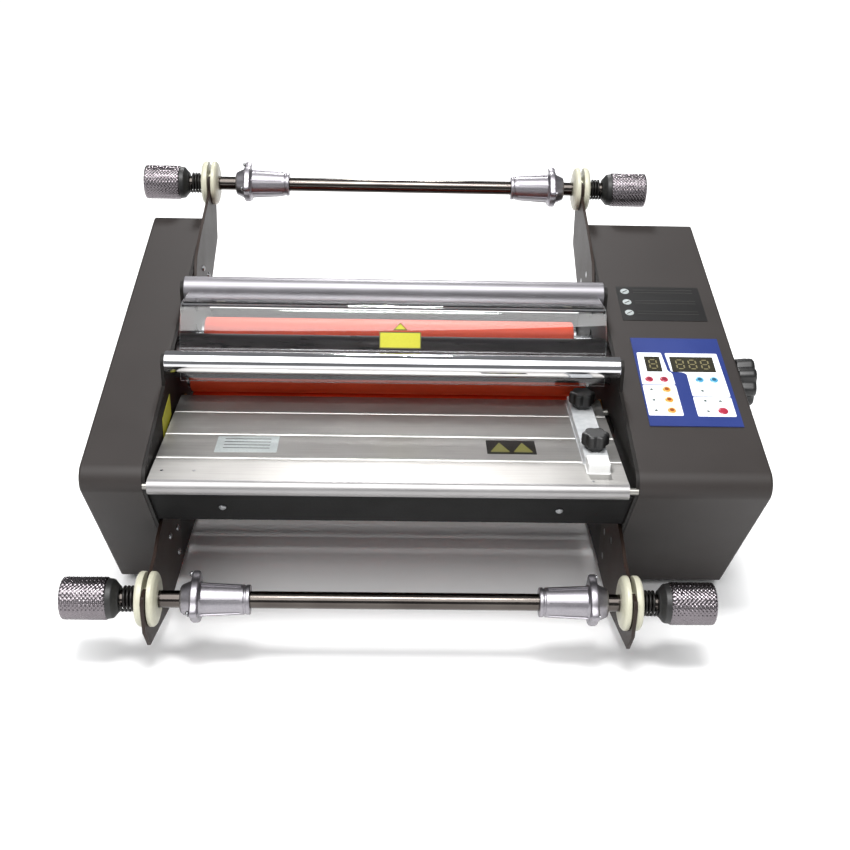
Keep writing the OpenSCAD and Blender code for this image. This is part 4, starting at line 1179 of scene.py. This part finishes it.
@dataclass
class HandKnobs:
    """The two clamp knobs of the guide and the pressure knob."""

    at: Datum

    def lobed(self, draft: Draft, levels: Sequence[tuple[float, float]], radius: float, lobes: int, dip: float,
              place: Matrix) -> None:
        """Stacks lobed outlines into a hand knob.

        Args:
            draft: The mesh that gets it.
            levels: Height and share of the radius of each ring.
            radius: Largest radius.
            lobes: Number of lobes.
            dip: Depth of the hollows between them.
            place: Matrix from local millimetres to the frame.
        """
        steps = lobes * 14
        rings = []
        for height, share in levels:
            ring = []
            for i in range(steps):
                turn = 2 * math.pi * i / steps
                wave = (1 - math.cos(lobes * turn)) / 2
                reach = (radius - dip * wave ** 1.6 * min(1.0, share)) * share
                ring.append(Vector((reach * math.cos(turn), reach * math.sin(turn), height)))
            rings.append(ring)
        draft.skin(rings, place)

    def clamp(self, node: str) -> None:
        """Makes one small clamp knob with a stem."""
        low, high = self.at.box(node)
        x, y = (low.x + high.x) / 2, (low.y + high.y) / 2
        bottom = high.z - 16
        draft = Draft()
        levels = [(0, 0.2), (0, 0.6), (1.0, 0.7), (3.4, 0.78), (4.8, 0.95), (5.8, 1.0), (13.6, 1.0), (15.0, 0.95),
                  (15.7, 0.86), (16, 0.7), (15.5, 0.3)]
        self.lobed(draft, levels, (high.y - low.y) / 2, 6, 2.4, self.at.upright(x, y, bottom))
        stem = [(low.z - bottom, 0.0), (low.z - bottom, 3.0), (0.2, 3.0), (0.2, 0.0)]
        draft.lathe(stem, self.at.upright(x, y, bottom), 24)
        publish(draft, node + "_lobed", [PHENOLIC], node, [node])

    def pressure(self) -> None:
        """Makes the large lobed knob with its shaft and cam."""
        low, high = self.at.box("pressure_knob")
        y, z = (low.y + high.y) / 2, (low.z + high.z) / 2
        thick = 19.0
        start = high.x - thick
        draft = Draft()
        levels = [(0, 0.3), (0, 0.86), (0.8, 0.92), (2, 0.95), (thick - 5, 1.0), (thick - 2.4, 0.985),
                  (thick - 0.9, 0.93), (thick - 0.2, 0.84), (thick, 0.6), (thick - 1.4, 0.5), (thick - 1.6, 0.15)]
        self.lobed(draft, levels, (high.z - low.z) / 2, 8, 3.6, self.at.along_x(start, y, z))
        shaft = [(low.x, 0.0), (low.x, 5.0), (start + 0.5, 5.0), (start + 0.5, 0.0)]
        draft.lathe(shaft, self.at.along_x(0, y, z), 32, 1)
        cam = [(216.0, 0.0), (216.0, 7.0), (220.0, 7.0), (220.0, 0.0)]
        draft.lathe(cam, self.at.along_x(0, y + 6, z), 32, 1)
        publish(draft, "pressure_hand_knob", [PHENOLIC, ZINC], "pressure", ["pressure_knob"])

    def build(self) -> None:
        """Makes the hand knobs."""
        self.clamp("front_guide_knob")
        self.clamp("rear_guide_knob")
        self.pressure()


@dataclass
class FilmShafts:
    """Both film shafts with their core chucks and tension knobs."""

    at: Datum
    hub: float = 9.5
    flange: float = 8.0
    seat: float = 12.7

    def shaft(self, level: str) -> None:
        """Turns one dark chromed shaft with thinner ends."""
        node = f"{level}_film_shaft"
        low, high = self.at.box(node)
        y, z = self.at.axis(node)
        radius, stub, shoulder = (high.z - low.z) / 2, 5.0, 244.0
        profile = rounded([(low.x, 0), (low.x, stub), (-shoulder, stub), (-shoulder, radius), (shoulder, radius),
                           (shoulder, stub), (high.x, stub), (high.x, 0)], 0.6, closed=False)
        draft = Draft().lathe(profile, self.at.along_x(0, y, z), 96)
        publish(draft, f"{level}_shaft_tube", [DARK_CHROME], f"{level}_shaft", [node])

    def ears(self, draft: Draft, place: Matrix) -> None:
        """Adds the flange with its three ears."""
        outline = []
        steps = 90
        for i in range(steps):
            turn = 2 * math.pi * i / steps
            wave = max(0.0, -math.cos(3 * turn)) ** 3
            reach = 20.2 + 4.6 * wave
            outline.append((reach * math.cos(turn), reach * math.sin(turn)))
        levels = ((self.hub + 0.2, 0.93), (self.hub + 0.9, 0.98), (self.hub + 1.8, 1.0),
                  (self.hub + self.flange - 2.4, 1.0), (self.hub + self.flange - 1.2, 0.97),
                  (self.hub + self.flange - 0.6, 0.9))
        rings = [[Vector((x * share, y * share, z)) for x, y in outline] for z, share in levels]
        draft.skin(rings, place)

    def chuck(self, level: str, side: int, word: str) -> None:
        """Casts one core chuck: hub, eared flange, ribbed seat and clamp screws.

        Args:
            level: Which shaft.
            side: One for the right-hand chuck, minus one for the left.
            word: Name of that side.
        """
        node = f"{level}_{word}_chuck"
        low, high = self.at.box(node)
        y, z = self.at.axis(f"{level}_film_shaft")
        face, length = (high.x if side > 0 else -low.x), high.x - low.x
        place = self.at.along_x(side * face, y, z, -side)
        bore = SHAFT_BORE
        profile = rounded([(0, bore), (0, 11.6), (1.2, 12.8), (self.hub - 2, 15.6), (self.hub + 1, 17.0),
                           (self.hub + self.flange - 1, 16.6), (self.hub + self.flange + 1, 14.6),
                           (length - 5.2, self.seat + 0.3), (length - 5.0, self.seat - 0.5),
                           (length - 3.4, self.seat - 0.5), (length - 3.2, self.seat + 0.3),
                           (length, self.seat + 0.2), (length, bore)], 0.7)
        draft = Draft().lathe(profile, place, 72, loop=True)
        self.ears(draft, place)
        ribs = 6
        for i in range(ribs):
            turn = Matrix.Rotation(2 * math.pi * (i + 0.5) / ribs, 4, "Z")
            rib = [(self.hub + self.flange, 12.0), (self.hub + self.flange, 15.6), (length - 8, self.seat + 0.8),
                   (length - 8, 12.0)]
            stand = place @ turn @ Matrix(((0, 1, 0, 0), (0, 0, 1, 0), (1, 0, 0, 0), (0, 0, 0, 1)))
            draft.prism(rib, -0.9, 0.9, stand)
        draft.soften(0.35, 50)
        body = f"{level}_{word}_chuck"
        publish(draft, node + "_casting", [CAST_ALLOY], body, [node])
        seats = []
        for i in range(3):
            turn = math.pi / 3 + 2 * math.pi * i / 3
            lift = (Matrix.Translation((21.8 * math.cos(turn), 21.8 * math.sin(turn), self.hub - 0.4))
                    @ Matrix.Rotation(math.pi, 4, "X"))
            seats.append(place @ lift)
        screws = scatter(node + "_screws", screw_head(2.4, 2.2), [self.square(s) for s in seats], ZINC)
        adopt(screws, body)

    @staticmethod
    def square(seat: Matrix) -> Matrix:
        """Returns a seat's place and turn without its scale or mirror."""
        place, turn, _ = seat.decompose()
        return Matrix.Translation(place) @ turn.to_matrix().to_4x4()

    def tension(self, level: str, side: int, word: str) -> None:
        """Makes one knurled tension knob with its dark cone."""
        node = f"{level}_{word}_tension_knob"
        low, high = self.at.box(node)
        y, z = self.at.axis(f"{level}_film_shaft")
        radius = (high.z - low.z) / 2
        start, cone, tip = 244.0, 234.0, max(abs(low.x), abs(high.x))
        turn = Matrix.Diagonal((side, 1, 1, 1))
        values = {"Radius": radius, "Length": tip - start, "Teeth": 34.0, "Depth": 1.0, "Ease": 1.1, "Around": 161,
                  "Along": 56, "Finish": KNURL_CHROME.material()}
        place = self.at.home() @ Matrix.Translation((side * start, y, z)) @ turn
        draft = Draft().take(from_tree("barrel", knurl_tree(), values, place))
        bmesh.ops.holes_fill(draft.bm, edges=[e for e in draft.bm.edges if e.is_boundary])
        crown = rounded([(tip - 0.6, 0), (tip - 0.6, 0.1), (tip - 0.2, 0.1), (tip - 0.2, radius - 4.5),
                         (tip - 0.6, radius - 4.2)], 0.3, closed=False)
        draft.lathe(crown, self.at.along_x(0, y, z, side), 64)
        flare = rounded([(cone, 7.7), (cone, 11.2), (cone + 1.4, 12.2), (cone + 5.4, radius - 2.0),
                         (start + 0.4, radius - 1.2), (start + 0.4, 7.7)], 0.9)
        draft.lathe(flare, self.at.along_x(0, y, z, side), 64, 1, loop=True)
        publish(draft, node + "_knurled", [KNURL_CHROME, MOULDED_BLACK], node, [node])

    def build(self) -> None:
        """Makes both shafts and what is on them."""
        for level in ("upper", "lower"):
            self.shaft(level)
            for side, word in ((-1, "left"), (1, "right")):
                self.chuck(level, side, word)
                self.tension(level, side, word)


@dataclass
class ControlPanel:
    """The printed overlay with its keys, lamps, windows, and the plain label behind it."""

    at: Datum
    film: float = 0.8
    ink: float = 0.12
    row: float = 138.0
    lamps: Outline = field(default_factory=lambda: [
        (242, 124.5), (242, 110), (242, 95.7), (290, 123.3), (290, 109.4), (304, 109.2), (290, 95.4)])

    def flat(self, points: Sequence[tuple[float, float]]) -> Outline:
        """Turns level X and Y into X and the distance along the slope from the panel's row."""
        return [(x, (y - self.row) / math.cos(self.at.tilt)) for x, y in points]

    def fields(self) -> None:
        """Prints the four white fields."""
        place = self.at.on_top(0, self.row)
        shapes = (
            [(236, 178), (259.6, 178), (262, 151), (265.6, 148), (266, 131.6), (234.6, 131.6)],
            [(234.6, 130.6), (266, 130.6), (266.4, 89), (234.4, 89)],
            [(263.2, 177.5), (314, 177.5), (315, 115.6), (279.4, 115.6), (279.4, 147), (276, 149.4), (265, 150.6)],
            [(279.4, 114.6), (315, 114.6), (315, 88.4), (279.4, 88.4)],
        )
        draft = Draft()
        for shape in shapes:
            draft.prism(rounded(self.flat(shape), 1.6), self.film - 0.1, self.film + self.ink, place)
        publish(draft, "white_fields", [PRINT_WHITE], "chassis")

    def windows(self) -> None:
        """Sets the two smoked windows and their unlit digits."""
        draft = Draft()
        middle = 161.0
        for x, width in ((249.5, 15.0), (287.6, 42.0)):
            half = width / 2
            place = self.at.on_top(x, middle)
            draft.box((-half, -11.5, -6), (half, 11.5, self.film + 0.22), place)
        publish(draft, "smoked_windows", [SMOKED], "chassis", ["display_window"])
        sample = Draft()
        scale = Matrix.Diagonal((MM, MM, MM, 1.0))
        reach, rise, half = 3.1, 6.0, 0.62
        bar = [(-reach + 0.8, 0), (-reach + 1.4, half), (reach - 1.4, half), (reach - 0.8, 0), (reach - 1.4, -half),
               (-reach + 1.4, -half)]
        post = [(y * 1.02, x) for x, y in bar]
        for y in (-rise, 0, rise):
            sample.prism([(px, py + y) for px, py in bar], 0, 0.1, scale)
        for x in (-reach, reach):
            for y in (-rise / 2, rise / 2):
                sample.prism([(px + x, py + y) for px, py in post], 0, 0.1, scale)
        seats = [FilmShafts.square(self.at.on_top(x, middle, self.film + 0.2)) for x in (249.5, 275.6, 287.6, 299.6)]
        adopt(scatter("unlit_digits", sample, seats, UNLIT, 1.1), "chassis")

    def lamp_dots(self) -> None:
        """Sets the small unlit indicator lamps."""
        sample = Draft()
        scale = Matrix.Diagonal((MM, MM, MM, 1.0))
        profile = [(-0.4, 0), (-0.4, 1.5), (0.3, 1.4), (0.7, 0.8), (0.8, 0)]
        sample.lathe(rounded(profile, 0.4, closed=False), scale, 20)
        seats = [FilmShafts.square(self.at.on_top(x, y, self.film + self.ink)) for x, y in self.lamps]
        adopt(scatter("indicator_lamps", sample, seats, LAMP_DARK), "chassis")

    def key(self, node: str, dome: Finish, centre: Finish, halo: Finish, slot: str) -> None:
        """Makes one domed key with a darker centre, and the print round it.

        Args:
            node: The key's node, which is also its body.
            dome: Finish of the cap.
            centre: Finish of its middle.
            halo: Finish of the printed ring.
            slot: Name of a material slot; not used.
        """
        low, high = self.at.box(node)
        x, y = (low.x + high.x) / 2, (low.y + high.y) / 2
        radius = (high.x - low.x) / 2
        tip = self.at.on_top(x, y)
        shift = (self.at.home().inverted() @ tip).inverted() @ Vector((x, y, (low.z + high.z) / 2))
        top, bottom = 1.7, -4.8
        place = tip @ Matrix.Translation((0, shift.y, 0))
        profile = [(bottom, 0.0), (bottom, radius), (top - 1.0, radius), (top - 0.5, radius * 0.93),
                   (top - 0.15, radius * 0.75), (top, radius * 0.52), (top + 0.02, 0.0)]
        bands = [0, 0, 0, 0, 0, 1]
        publish(Draft().lathe(profile, place, 40, finishes=bands), node + "_cap", [dome, centre], node, [node])
        ring = [(self.film + 0.05, radius + 0.1), (self.film + 0.05, radius + 1.3), (self.film + 0.17, radius + 1.3),
                (self.film + 0.17, radius + 0.1)]
        publish(Draft().lathe(ring, place, 40, loop=True), node + "_halo", [halo], "chassis")

    def keys(self) -> None:
        """Makes all eight keys."""
        red = (KEY_RED, KEY_DARK, PRINT_PINK, "key_red")
        blue = (KEY_BLUE, KEY_TEAL, PRINT_SKY, "key_blue")
        orange = (KEY_ORANGE, KEY_BROWN, PRINT_AMBER, "key_orange")
        rows = (("speed_up_key", red), ("speed_down_key", red), ("temperature_up_key", blue),
                ("temperature_down_key", blue), ("forward_key", orange), ("reverse_key", orange),
                ("measure_key", orange), ("stop_key", (KEY_RED, KEY_RED, PRINT_PINK, "key_red")))
        for node, look in rows:
            self.key(node, *look)

    def plain_label(self) -> None:
        """Lays the black label with three plain discs and faint rules behind the panel."""
        row = 256.0
        place = self.at.on_top(0, row)
        stretch = math.cos(self.at.tilt)
        outline = rounded([(230, -27 / stretch), (316, -27 / stretch), (316, 29 / stretch), (230, 29 / stretch)], 1.5)
        draft = Draft().prism(outline, 0, 0.35, place, 0)
        for y in (241.5, 259.0, 277.0):
            shift = (y - row) / stretch
            disc = place @ Matrix.Translation((238.5, shift, 0))
            draft.lathe([(0.3, 0.0), (0.3, 4.6), (0.5, 4.5), (0.5, 3.2), (0.42, 3.1), (0.42, 0.0)], disc, 32, 1)
            bar = Matrix.Rotation(math.radians(35), 4, "Z")
            draft.box((-3.2, -0.5, 0.42), (3.2, 0.5, 0.55), disc @ bar, 2)
            for offset in (-2.4, 2.0):
                draft.box((247, shift + offset, 0.3), (309, shift + offset + 1.3, 0.42), place, 2)
        publish(draft, "plain_label", [LABEL_BLACK, LABEL_SILVER, LABEL_GREY], "chassis")

    def build(self) -> None:
        """Makes everything on the sloping top."""
        self.fields()
        self.windows()
        self.lamp_dots()
        self.keys()
        self.plain_label()


@dataclass
class Drive:
    """Gears, yoke, motor, heaters and the mains fittings."""

    at: Datum

    def build(self) -> None:
        """Eases the edges of the working parts."""
        rows = (
            ("heat_shields", HOT_STEEL, "chassis", "shield_steel", 0.25),
            ("lower_bearings", BRONZE, "chassis", "bearing_bronze", 0.3),
            ("gear_motor", MOTOR_ALLOY, "chassis", "motor_alloy", 0.8),
            ("power_inlet", MOULDED_BLACK, "chassis", "inlet_plastic", 0.5),
            ("power_switch", SWITCH_RED, "power_switch", "switch_red", 0.4),
            ("lift_plates", YOKE_STEEL, "lift", "yoke_steel", 0.4),
            ("transfer_gear", GEAR_NYLON, "transfer", "gear_nylon", 0.2),
            ("motor_gear", GEAR_STEEL, "motor_shaft", "gear_steel", 0.2),
            ("front_upper_gear", GEAR_STEEL, "front_upper", "gear_steel", 0.2),
            ("front_lower_gear", GEAR_STEEL, "front_lower", "gear_steel", 0.2),
            ("rear_upper_gear", GEAR_STEEL, "rear_upper", "gear_steel", 0.2),
            ("rear_lower_gear", GEAR_STEEL, "rear_lower", "gear_steel", 0.2),
        )
        for node, finish, body, slot, width in rows:
            draft = node_copy(node).soften(width, 40)
            publish(draft, node + "_eased", [finish], body, [node])


# ---- stage ----


@dataclass
class Studio:
    """Floor, lights and camera."""

    floor_size: float = 30.0
    lens: float = 49.55
    eye: tuple[float, float, float] = (-0.0301, -1.0826, 0.6609)
    pitch: float = 26.09
    yaw: float = -1.53
    roll: float = -1.40

    def floor(self) -> None:
        """Lays a pale floor under the feet."""
        size = self.floor_size / 2
        draft = Draft().prism([(-size, -size), (size, -size), (size, size), (-size, size)], -0.1, 0.0,
                              Matrix.Identity(4))
        pale = Finish("pale_studio_floor", "#fcfcfc", "#fefefe", (0.9, 0.95), size=(400.0, 400.0, 400.0), relief=0.0)
        piece = bpy.data.objects.new("floor", draft.mesh("floor", [pale]))
        bpy.context.scene.collection.objects.link(piece)

    def lamp(self, name: str, place: tuple[float, float, float], aim: tuple[float, float, float],
             size: tuple[float, float], power: float) -> None:
        """Hangs one soft box.

        Args:
            name: Name of the light.
            place: Where it hangs.
            aim: What it points at.
            size: Width and height.
            power: Watts.
        """
        data = bpy.data.lights.new(name, "AREA")
        data.shape = "RECTANGLE"
        data.size, data.size_y = size
        data.energy = power
        lamp = bpy.data.objects.new(name, data)
        lamp.location = place
        lamp.rotation_euler = (Vector(aim) - Vector(place)).to_track_quat("-Z", "Y").to_euler()
        bpy.context.scene.collection.objects.link(lamp)

    def lights(self) -> None:
        """Sets an even sky, a broad soft sun and two soft boxes."""
        world = bpy.data.worlds.new("studio")
        world.use_nodes = True
        tree = world.node_tree
        room = tree.nodes["Background"]
        room.inputs["Color"].default_value = linear("#cfd1d4")
        room.inputs["Strength"].default_value = 0.35
        paper = add_node(tree, "ShaderNodeBackground", inputs={"Color": linear("#ffffff"), "Strength": 1.0})
        path = add_node(tree, "ShaderNodeLightPath")
        seen = add_node(tree, "ShaderNodeMixShader", inputs={
            0: path.outputs["Is Camera Ray"], 1: room.outputs[0], 2: paper.outputs[0]})
        tree.links.new(seen.outputs[0], tree.nodes["World Output"].inputs["Surface"])
        bpy.context.scene.world = world
        data = bpy.data.lights.new("broad_sun", "SUN")
        data.energy = 3.2
        data.angle = math.radians(60)
        sun = bpy.data.objects.new("broad_sun", data)
        sun.rotation_euler = (math.radians(28), math.radians(-12), 0)
        bpy.context.scene.collection.objects.link(sun)
        self.lamp("back_box", (-0.04, 2.4, 2.45), (0.0, 0.0, 0.15), (0.35, 0.3), 45)
        self.lamp("front_box", (-0.05, -0.9, 2.2), (0.0, 0.0, 0.15), (0.6, 0.4), 30)

    def camera(self) -> None:
        """Stands the camera at its viewing angle."""
        data = bpy.data.cameras.new("camera")
        data.lens = self.lens
        data.sensor_width = 36.0
        turn = (Matrix.Rotation(math.radians(self.yaw), 3, "Z") @ Matrix.Rotation(math.radians(-self.pitch), 3, "X")
                @ Matrix.Rotation(math.radians(self.roll), 3, "Y"))
        right, forward, up = turn.col
        view = Matrix((right, up, -forward)).transposed().to_4x4()
        camera = bpy.data.objects.new("camera", data)
        camera.matrix_world = Matrix.Translation(self.eye) @ view
        bpy.context.scene.collection.objects.link(camera)
        bpy.context.scene.camera = camera

    def build(self) -> None:
        """Sets the stage."""
        self.camera()
        self.floor()
        self.lights()
        bpy.context.scene.view_settings.view_transform = "Standard"


def dress_nodes() -> None:
    """Gives every frame node the finish of its real material."""
    for node, finish in BARE_NODE_FINISHES.items():
        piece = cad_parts[node]
        piece.data.materials.clear()
        piece.data.materials.append(finish.material())
        LOG.info("%s is finished in %s", node, finish.name)


def main() -> None:
    """Builds the machine in order and sets the stage."""
    logging.basicConfig(level=logging.INFO, format="%(name)s: %(message)s")
    at = find_datum()
    Studio().build()
    dress_nodes()
    for group in (Casings(at), Chassis(at), Guard(at), Rollers(at), FeedTable(at), HandKnobs(at), FilmShafts(at),
                  ControlPanel(at), Drive(at)):
        group.build()
        LOG.info("%s done", type(group).__name__)


if __name__ == "__main__":
    main()
